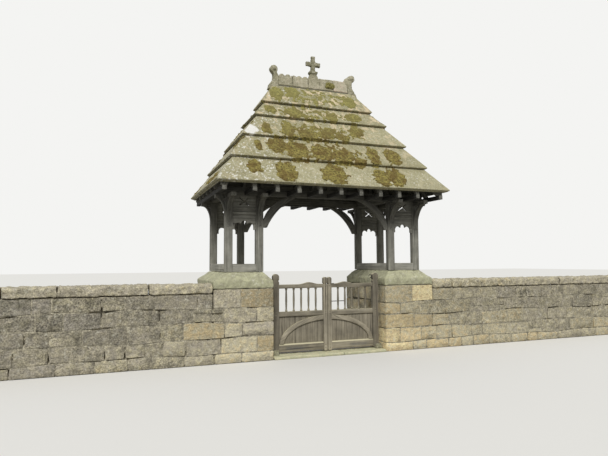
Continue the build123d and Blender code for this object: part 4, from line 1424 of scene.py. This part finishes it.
def add_node(tree, kind, inputs=None, stops=None, **settings):
    """Adds a shader node with its settings, its inputs' values or links, and a colour ramp's stops.

    An input that is given a node is linked to that node's first output in use.
    """
    made = tree.nodes.new(f"ShaderNode{kind}")
    for key, value in settings.items():
        setattr(made, key, value)
    for socket, value in (inputs or {}).items():
        if isinstance(value, bpy.types.Node):
            value = next(output for output in value.outputs if output.enabled)
        if isinstance(value, bpy.types.NodeSocket):
            tree.links.new(value, made.inputs[socket])
        else:
            made.inputs[socket].default_value = value
    if stops:
        ramp = made.color_ramp
        while len(ramp.elements) < len(stops):
            ramp.elements.new(1.0)
        for element, (position, colour) in zip(ramp.elements, stops):
            element.position = position
            element.color = linear(colour) if isinstance(colour, str) else (colour, colour, colour, 1.0)
    return made


def empty_tree(owner):
    """Empties a material's or the world's node tree, and returns what adds nodes to it."""
    owner.use_nodes = True
    owner.node_tree.nodes.clear()
    return partial(add_node, owner.node_tree)


def start_material(name):
    """An empty material: what adds nodes to it, and the place on the object that its textures read."""
    MATERIALS[name] = bpy.data.materials.new(name)
    add = empty_tree(MATERIALS[name])
    return add, add("TexCoord").outputs["Object"]


def end_material(add, roughness, colour, reliefs):
    """Gives a material its shader and its reliefs, one over another: strength, depth in metres, height."""
    normal = {}
    for strength, depth, height in reliefs:
        relief = {"Strength": strength, "Distance": depth, "Height": height, **normal}
        normal = {"Normal": add("Bump", relief)}
    surface = {"Base Color": colour, "Roughness": roughness, **normal}
    shader = add("BsdfPrincipled", surface)
    add("OutputMaterial", {"Surface": shader})


def stone_material(name, stops, grime, freckles, spots, rock, extra=None):
    """Weathered stone: a tone for each stone, grime in patches, dark freckles, pale lichen and a sandy face.

    Freckles are their size in millimetres and their darkest and lightest factors. Spots are the lichen's
    colour, size in millimetres and share. Rock is the relief of the broken face, in metres.
    """
    add, place = start_material(name)
    tone = add("Attribute", attribute_name="tone").outputs["Color"]
    warm, light, dirt = add("SeparateColor", {"Color": tone}).outputs
    mottle = add("TexNoise", {"Vector": place, **features(90, 6.0, 0.62)})
    shift = add("Math", {0: mottle, 1: 1.5, 2: -0.75}, operation="MULTIPLY_ADD")
    warmth = add("Math", {0: warm, 1: shift}, operation="ADD")
    base = add("ValToRGB", {"Fac": warmth}, stops)
    lightness = add("MapRange", {"Value": light, **ranges(0.0, 1.0, 0.55, 1.35)})
    lit = add("Mix", {FACTOR: 1.0, UNDER: base, OVER: lightness}, **MULTIPLY)
    stain = add("TexNoise", {"Vector": place, **features(130, 7.0, 0.65, 0.4)})
    stained = add("ValToRGB", {"Fac": stain}, [(0.40, 0.0), (0.62, 1.0)])
    amount = add("Math", {0: stained, 1: dirt}, operation="MULTIPLY")
    dirty = add("Mix", {FACTOR: amount, UNDER: lit, OVER: linear(grime)}, **MIX)
    size, darkest, lightest = freckles
    fleck = add("TexNoise", {"Vector": place, **features(size, 6.0, 0.72)})
    flecked = add("ValToRGB", {"Fac": fleck}, [(0.40, darkest), (0.60, lightest)])
    spoiled = add("Mix", {FACTOR: 1.0, UNDER: dirty, OVER: flecked}, **MULTIPLY)
    strength = add("Math", {0: dirt, 1: 0.7, 2: 0.35}, operation="MULTIPLY_ADD")
    freckled = add("Mix", {FACTOR: strength, UNDER: dirty, OVER: spoiled}, **MIX)
    lichen, size, share = spots
    patch = add("TexNoise", {"Vector": place, **features(size, 4.0, 0.65)})
    shown = add("ValToRGB", {"Fac": patch}, [(0.58 - share, 0.0), (0.70 - share, 0.8)])
    colour = add("Mix", {FACTOR: shown, UNDER: freckled, OVER: linear(lichen)}, **MIX)
    if extra:
        colour = extra(add, place, colour)
    # Grit is under 1 mm, drawn at 7 mm so that it shows
    grit = add("TexNoise", {"Vector": place, **features(7, 3.0, 0.7)})
    end_material(add, 0.92, colour, [(0.35, 0.003, grit), (0.7, 0.012, fleck), (0.8, rock, mottle)])


def weathered_and_shaded_roof(add, place, colour):
    """The slates' own marks, bare pinkish stone, big lichens to the left and one white patch, and painted
    shade on their down-facing edges.
    """
    across, _, height = add("SeparateXYZ", {"Vector": place}).outputs
    dulled = add("MapRange", {"Value": height, **ranges(3.05, 3.20, 0.0, 0.25)})
    dull = add("Mix", {FACTOR: dulled, UNDER: colour, OVER: linear("#8d875f")}, **MIX)
    high = add("MapRange", {"Value": height, **ranges(3.2, 4.2, 0.15, 0.85)})
    patches = add("TexNoise", {"Vector": place, **features(150, 6.0, 0.65, 0.3)})
    shown = add("ValToRGB", {"Fac": patches}, [(0.51, 0.0), (0.61, 1.0)])
    amount = add("Math", {0: shown, 1: high}, operation="MULTIPLY")
    pink = add("Mix", {FACTOR: amount, UNDER: dull, OVER: linear("#d8c6a2")}, **MIX)
    rings = add("TexNoise", {"Vector": place, **features(48, 3.0, 0.6)})
    lean = add("MapRange", {"Value": across, **ranges(-1.9, 0.3, 0.075, -0.06)})
    spotted = add("Math", {0: rings, 1: lean}, operation="ADD")
    lichen = add("ValToRGB", {"Fac": spotted}, [(0.63, 0.0), (0.66, 0.85)])
    spots = add("Mix", {FACTOR: lichen, UNDER: pink, OVER: linear("#dedbce")}, **MIX)
    # Painted shade: faces that look down, above the eave, are painted dark as the shadow lines under the
    # courses
    facing = add("NewGeometry").outputs["True Normal"]
    upward = add("SeparateXYZ", {"Vector": facing}).outputs["Z"]
    under = add("MapRange", {"Value": upward, **ranges(-0.1, -0.6, 0.0, 0.40)})
    above_eave = add("MapRange", {"Value": height, **ranges(2.88, 2.98, 0.0, 1.0)})
    shade = add("Math", {0: under, 1: above_eave}, operation="MULTIPLY")
    edges = add("Mix", {FACTOR: shade, UNDER: spots, OVER: linear("#4f4a36")}, **MIX)
    away = add("VectorMath", {0: place, 1: WHITE_PATCH}, operation="DISTANCE")
    ragged = add("Math", {0: patches, 1: 0.3, 2: away}, operation="MULTIPLY_ADD")
    white = add("MapRange", {"Value": ragged, **ranges(0.26, 0.29, 0.95, 0.0)})
    return add("Mix", {FACTOR: white, UNDER: edges, OVER: linear("#e8e6de")}, **MIX)


def make_stones():
    """The four stones of the lychgate."""
    # Coursed rubble sandstone, rock-faced: grey to buff blocks, freckled dark by soot and algae
    stops = [(0.0, "#9d9688"), (0.30, "#ada48e"), (0.50, "#beb597"), (0.78, "#c7b38a"), (1.0, "#dccda0")]
    stone_material("rubble_sandstone", stops, "#77725f", (20, 0.36, 1.36), ("#cfcab6", 60, 0.0), 0.050)
    # Dressed sandstone, sawn and weathered: flatter, with a green-grey bloom of algae
    stops = [(0.0, "#8a8670"), (0.35, "#a19e83"), (0.60, "#b4b392"), (1.0, "#c9c19f")]
    stone_material("dressed_sandstone", stops, "#75705a", (24, 0.72, 1.20), ("#cdcab4", 55, 0.01), 0.006)
    # Riven stone slates: pale khaki, with white lichen and bare pinkish patches
    stops = [(0.0, "#938e6a"), (0.35, "#a8a280"), (0.65, "#b8b290"), (1.0, "#cac3a6")]
    marks = ("#837d58", (24, 0.70, 1.20), ("#dad7c8", 34, 0.02), 0.008)
    stone_material("stone_slate", stops, *marks, weathered_and_shaded_roof)
    # Carved ridge stone: the same stone, greener where water lingers
    stops = [(0.0, "#8f8c72"), (0.45, "#b0a98e"), (0.80, "#c2b9a0"), (1.0, "#ccb8a2")]
    stone_material("ridge_stone", stops, "#6f6c4e", (24, 0.60, 1.26), ("#cfccb8", 44, 0.02), 0.010)


def make_mortar():
    """Lime mortar with coarse sand, struck back and weathered."""
    add, place = start_material("lime_mortar")
    patches = add("TexNoise", {"Vector": place, **features(90, 6.0, 0.65)})
    stops = [(0.38, "#878170"), (0.50, "#aaa28c"), (0.62, "#c4bca4")]
    colour = add("ValToRGB", {"Fac": patches}, stops)
    fleck = add("TexNoise", {"Vector": place, **features(20, 6.0, 0.72)})
    flecked = add("ValToRGB", {"Fac": fleck}, [(0.4, 0.5), (0.6, 1.2)])
    freckled = add("Mix", {FACTOR: 1.0, UNDER: colour, OVER: flecked}, **MULTIPLY)
    sand = add("TexNoise", {"Vector": place, **features(8, 3.0, 0.7)})
    end_material(add, 0.95, freckled, [(0.5, 0.004, sand)])


def make_moss(settings):
    """Cushion moss: golden tips, dark hollows, brown where it is dry and greener up the roof."""
    shades = (settings.moss_dark, settings.moss_light, settings.moss_dry)
    dark, light, dried = [(*shade, 1.0) for shade in shades]
    add, place = start_material("moss")
    clumps = add("TexNoise", {"Vector": place, **features(34, 6.0, 0.75)})
    tips = add("ValToRGB", {"Fac": clumps}, [(0.38, 0.0), (0.60, 1.0)])
    fresh = add("Mix", {FACTOR: tips, UNDER: dark, OVER: light}, **MIX)
    broad = add("TexNoise", {"Vector": place, **features(150, 5.0, 0.6)})
    amount = add("ValToRGB", {"Fac": broad}, [(0.44, 0.0), (0.58, 0.7)])
    dry = add("Mix", {FACTOR: amount, UNDER: fresh, OVER: dried}, **MIX)
    height = add("SeparateXYZ", {"Vector": place}).outputs["Z"]
    green = add("MapRange", {"Value": height, **ranges(3.5, 4.6, 0.0, 0.5)})
    colour = add("Mix", {FACTOR: green, UNDER: dry, OVER: linear("#9d9b5e")}, **MIX)
    # Tufts are 3 to 5 mm across, drawn at 14 mm so that they show
    tufts = add("TexNoise", {"Vector": place, **features(14, 5.0, 0.75)})
    end_material(add, 1.0, colour, [(1.0, 0.012, tufts)])


def oak_material(name, stops, bleach_and_shade, ledges, extra=None):
    """Weathered oak: silvery streaks along the grain, dark checks, and a rough, dry surface.

    The height range is a low and a high place, and how much lighter the oak is at each. On the frame the oak
    is darker high up, which is painted shade under the eaves. Ledges is how pale the faces are that look up.
    """
    add, place = start_material(name)
    grain = add("Attribute", attribute_name="grain").outputs["Vector"]
    # Rings stand 6 mm apart, drawn at 26 mm as well so that they show
    scale = (per_metre(900), per_metre(26), per_metre(26))
    broad = add("Mapping", {"Vector": grain, "Scale": scale})
    scale = (per_metre(260), per_metre(6), per_metre(6))
    fine = add("Mapping", {"Vector": grain, "Scale": scale})
    size = {"Scale": 1.0, "Detail": 5.0, "Roughness": 0.6}
    streaks = add("TexNoise", {"Vector": broad, **size})
    size = {"Scale": 1.0, "Detail": 4.0, "Roughness": 0.6}
    fibres = add("TexNoise", {"Vector": fine, **size})
    blend = add("Mix", {0: 0.4, 2: streaks, 3: fibres}, data_type="FLOAT")
    toned = add("ValToRGB", {"Fac": blend}, stops)
    blotch = add("TexNoise", {"Vector": place, **features(260, 4.0, 0.6)})
    shade = add("ValToRGB", {"Fac": blotch}, [(0.38, 0.78), (0.62, 1.15)])
    tone = add("Attribute", attribute_name="tone").outputs["Color"]
    own = add("MapRange", {"Value": tone, **ranges(0.0, 1.0, 0.4, 1.6)}, clamp=False)
    # Lighter low down and darker high up; on the frame the darkening high up is painted shade under the
    # eaves
    height = add("SeparateXYZ", {"Vector": place}).outputs["Z"]
    bleached_and_shaded = add("MapRange", {"Value": height, **ranges(*bleach_and_shade)})
    for factor in (shade, own, bleached_and_shaded):
        toned = add("Mix", {FACTOR: 1.0, UNDER: toned, OVER: factor}, **MULTIPLY)
    facing = add("NewGeometry").outputs["True Normal"]
    upward = add("SeparateXYZ", {"Vector": facing}).outputs["Z"]
    ledge = add("MapRange", {"Value": upward, **ranges(0.35, 0.65, 0.0, ledges)})
    pale = add("Mix", {FACTOR: ledge, UNDER: toned, OVER: linear("#d0c8a6")}, **MIX)
    checks = add("ValToRGB", {"Fac": streaks}, [(0.32, 0.35), (0.39, 1.0)])
    colour = add("Mix", {FACTOR: 1.0, UNDER: pale, OVER: checks}, **MULTIPLY)
    if extra:
        colour = extra(add, place, colour)
    end_material(add, 0.85, colour, [(0.5, 0.003, fibres), (0.7, 0.006, checks)])


def painted_rail_shade(add, place, colour):
    """A dark slate-blue streak of painted shade along the middle of each bottom rail."""
    across, _, height = add("SeparateXYZ", {"Vector": place}).outputs
    # Each ramp below reads metres: heights, then distances from the middle of the passage
    stops = [(0.105, 0.0), (0.125, 1.0), (0.155, 1.0), (0.172, 0.0)]
    band = add("ValToRGB", {"Fac": height}, stops)
    away = add("Math", {0: across}, operation="ABSOLUTE")
    ragged = add("TexNoise", {"Vector": place, **features(60, 4.0, 0.6)})
    shifted = add("Math", {0: ragged, 1: 0.20, 2: away}, operation="MULTIPLY_ADD")
    stops = [(0.46, 0.0), (0.58, 1.0), (0.84, 1.0), (0.90, 0.0)]
    run = add("ValToRGB", {"Fac": shifted}, stops)
    both = add("Math", {0: band, 1: run}, operation="MULTIPLY")
    share = add("Math", {0: both, 1: 0.45}, operation="MULTIPLY")
    # Painted shade: the dark slate-blue streak along the rail
    return add("Mix", {FACTOR: share, UNDER: colour, OVER: linear("#4a4e53")}, **MIX)


def make_oaks():
    """The frame's oak, in the lee of the roof, and the gates' oak, in the rain."""
    # Oak left bare for a century: silver-grey and furred where rain reaches it, and painted near black high
    # under the eaves, which is painted shade
    stops = [(0.30, "#55534b"), (0.50, "#7c7a70"), (0.70, "#9f9d92")]
    oak_material("frame_oak", stops, (1.45, 2.50, 1.45, 0.75), 0.25)
    # The same oak in the open: warmer, ribbed by rain, pale on its ledges
    stops = [(0.30, "#655d4e"), (0.50, "#8a8270"), (0.70, "#a8a08c")]
    oak_material("gate_oak", stops, (0.06, 0.30, 1.25, 0.97), 0.8, painted_rail_shade)


def make_iron():
    """Wrought iron under old black paint, rusting where it has worn through."""
    add, place = start_material("wrought_iron")
    patches = add("TexNoise", {"Vector": place, **features(35, 6.0, 0.65)})
    stops = [(0.45, "#26241f"), (0.60, "#3a3029"), (0.70, "#5c3f2a")]
    colour = add("ValToRGB", {"Fac": patches}, stops)
    rust = add("TexNoise", {"Vector": place, **features(6, 3.0, 0.6)})
    end_material(add, 0.55, colour, [(0.4, 0.001, rust)])


class LYCHGATE_OT_finishes(bpy.types.Operator):
    """Make the materials: stones, mortar, moss, oaks and iron"""

    bl_idname = "lychgate.finishes"
    bl_label = "Finishes"

    def execute(self, context):
        make_stones()
        make_mortar()
        make_moss(context.scene.lychgate_roof)
        make_oaks()
        make_iron()
        return {"FINISHED"}


def stage_floor():
    """A pale floor that looks brighter to the camera than the light it throws back."""
    deselect()
    bpy.ops.mesh.primitive_plane_add(size=FLOOR_SIZE)
    floor = settle(bpy.context.object, "stage_floor")
    material = bpy.data.materials.new("pale_floor")
    add = empty_tree(material)
    path = add("LightPath")
    seen = add("BsdfDiffuse", {"Color": linear("#e6e4de")})
    thrown = add("BsdfDiffuse", {"Color": linear("#8f8d86")})
    mixed = add("MixShader", {0: path.outputs["Is Camera Ray"], 1: thrown, 2: seen})
    add("OutputMaterial", {"Surface": mixed})
    floor.data.materials.append(material)


def stage_world():
    """Even pale light from all round, with a near-white background behind."""
    world = bpy.data.worlds.new("studio")
    bpy.context.scene.world = world
    add = empty_tree(world)
    path = add("LightPath").outputs
    seen = path["Is Camera Ray"]
    for ray in (path["Is Glossy Ray"], path["Is Transmission Ray"]):
        seen = add("Math", {0: seen, 1: ray}, operation="MAXIMUM")
    lamp = add("Background", {"Color": linear("#f2f4f7"), "Strength": 0.55})
    backdrop = add("Background", {"Color": linear("#f4f4f2"), "Strength": 1.0})
    mixed = add("MixShader", {0: seen, 1: lamp, 2: backdrop})
    add("OutputWorld", {"Surface": mixed})


def stage_lamp():
    """One broad lamp like a bright overcast sky, from the front, the left and above."""
    lamp = bpy.data.lights.new("key_light", "SUN")
    lamp.energy = LAMP_STRENGTH
    lamp.angle = LAMP_ANGLE
    holder = bpy.data.objects.new("key_light", lamp)
    holder.rotation_mode = "QUATERNION"
    holder.rotation_quaternion = Vector(LAMP_TOWARDS).to_track_quat("-Z", "Y")
    bpy.context.scene.collection.objects.link(holder)


def stage_camera():
    """The camera, where the photograph was taken from."""
    camera = bpy.data.cameras.new("camera")
    camera.sensor_width = SENSOR_WIDTH_MM
    camera.lens = FOCAL_LENGTH_PX / IMAGE_WIDTH_PX * SENSOR_WIDTH_MM
    holder = bpy.data.objects.new("camera", camera)
    bpy.context.scene.collection.objects.link(holder)
    forward = Vector((
        math.sin(CAMERA_YAW) * math.cos(CAMERA_PITCH),
        math.cos(CAMERA_YAW) * math.cos(CAMERA_PITCH),
        math.sin(CAMERA_PITCH),
    ))
    level = Vector((math.cos(CAMERA_YAW), -math.sin(CAMERA_YAW), 0))
    upright = level.cross(forward)
    right = level * math.cos(CAMERA_ROLL) + upright * math.sin(CAMERA_ROLL)
    up = upright * math.cos(CAMERA_ROLL) - level * math.sin(CAMERA_ROLL)
    turn_matrix = Matrix((right, up, -forward)).transposed()
    holder.matrix_world = Matrix.Translation(CAMERA_PLACE) @ turn_matrix.to_4x4()
    bpy.context.scene.camera = holder


class LYCHGATE_OT_stage(bpy.types.Operator):
    """Set up the floor, the light and the camera"""

    bl_idname = "lychgate.stage"
    bl_label = "Stage"

    def execute(self, context):
        stage_floor()
        stage_world()
        stage_lamp()
        stage_camera()
        context.scene.view_settings.view_transform = "Standard"
        return {"FINISHED"}


class LYCHGATE_PT_panel(bpy.types.Panel):
    """Lists the lychgate's pieces and sizes"""

    bl_label = "Lychgate"
    bl_idname = "LYCHGATE_PT_panel"
    bl_space_type = "VIEW_3D"
    bl_region_type = "UI"
    bl_category = "Lychgate"

    def draw(self, context):
        layout = self.layout
        for group in GROUPS:
            settings = getattr(context.scene, group)
            box = layout.box()
            for name in settings.__annotations__:
                box.prop(settings, name)
        for operator in OPERATORS:
            layout.operator(operator.bl_idname)


GROUPS = {
    "lychgate_masonry": LYCHGATE_PG_masonry,
    "lychgate_roof": LYCHGATE_PG_roof,
    "lychgate_timber": LYCHGATE_PG_timber,
}
OPERATORS = [
    LYCHGATE_OT_finishes,
    LYCHGATE_OT_stage,
    LYCHGATE_OT_walls,
    LYCHGATE_OT_copings,
    LYCHGATE_OT_slates,
    LYCHGATE_OT_moss,
    LYCHGATE_OT_ridge,
    LYCHGATE_OT_timbers,
    LYCHGATE_OT_gates,
    LYCHGATE_OT_ironwork,
]
CLASSES = [*GROUPS.values(), *OPERATORS, LYCHGATE_PT_panel]


def register():
    for cls in CLASSES:
        bpy.utils.register_class(cls)
    for name, group in GROUPS.items():
        setattr(bpy.types.Scene, name, PointerProperty(type=group))


def unregister():
    for name in GROUPS:
        delattr(bpy.types.Scene, name)
    for cls in reversed(CLASSES):
        bpy.utils.unregister_class(cls)


def main():
    """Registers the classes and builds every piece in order."""
    register()
    for operator in OPERATORS:
        family, name = operator.bl_idname.split(".")
        getattr(getattr(bpy.ops, family), name)()


if __name__ == "__main__":
    main()
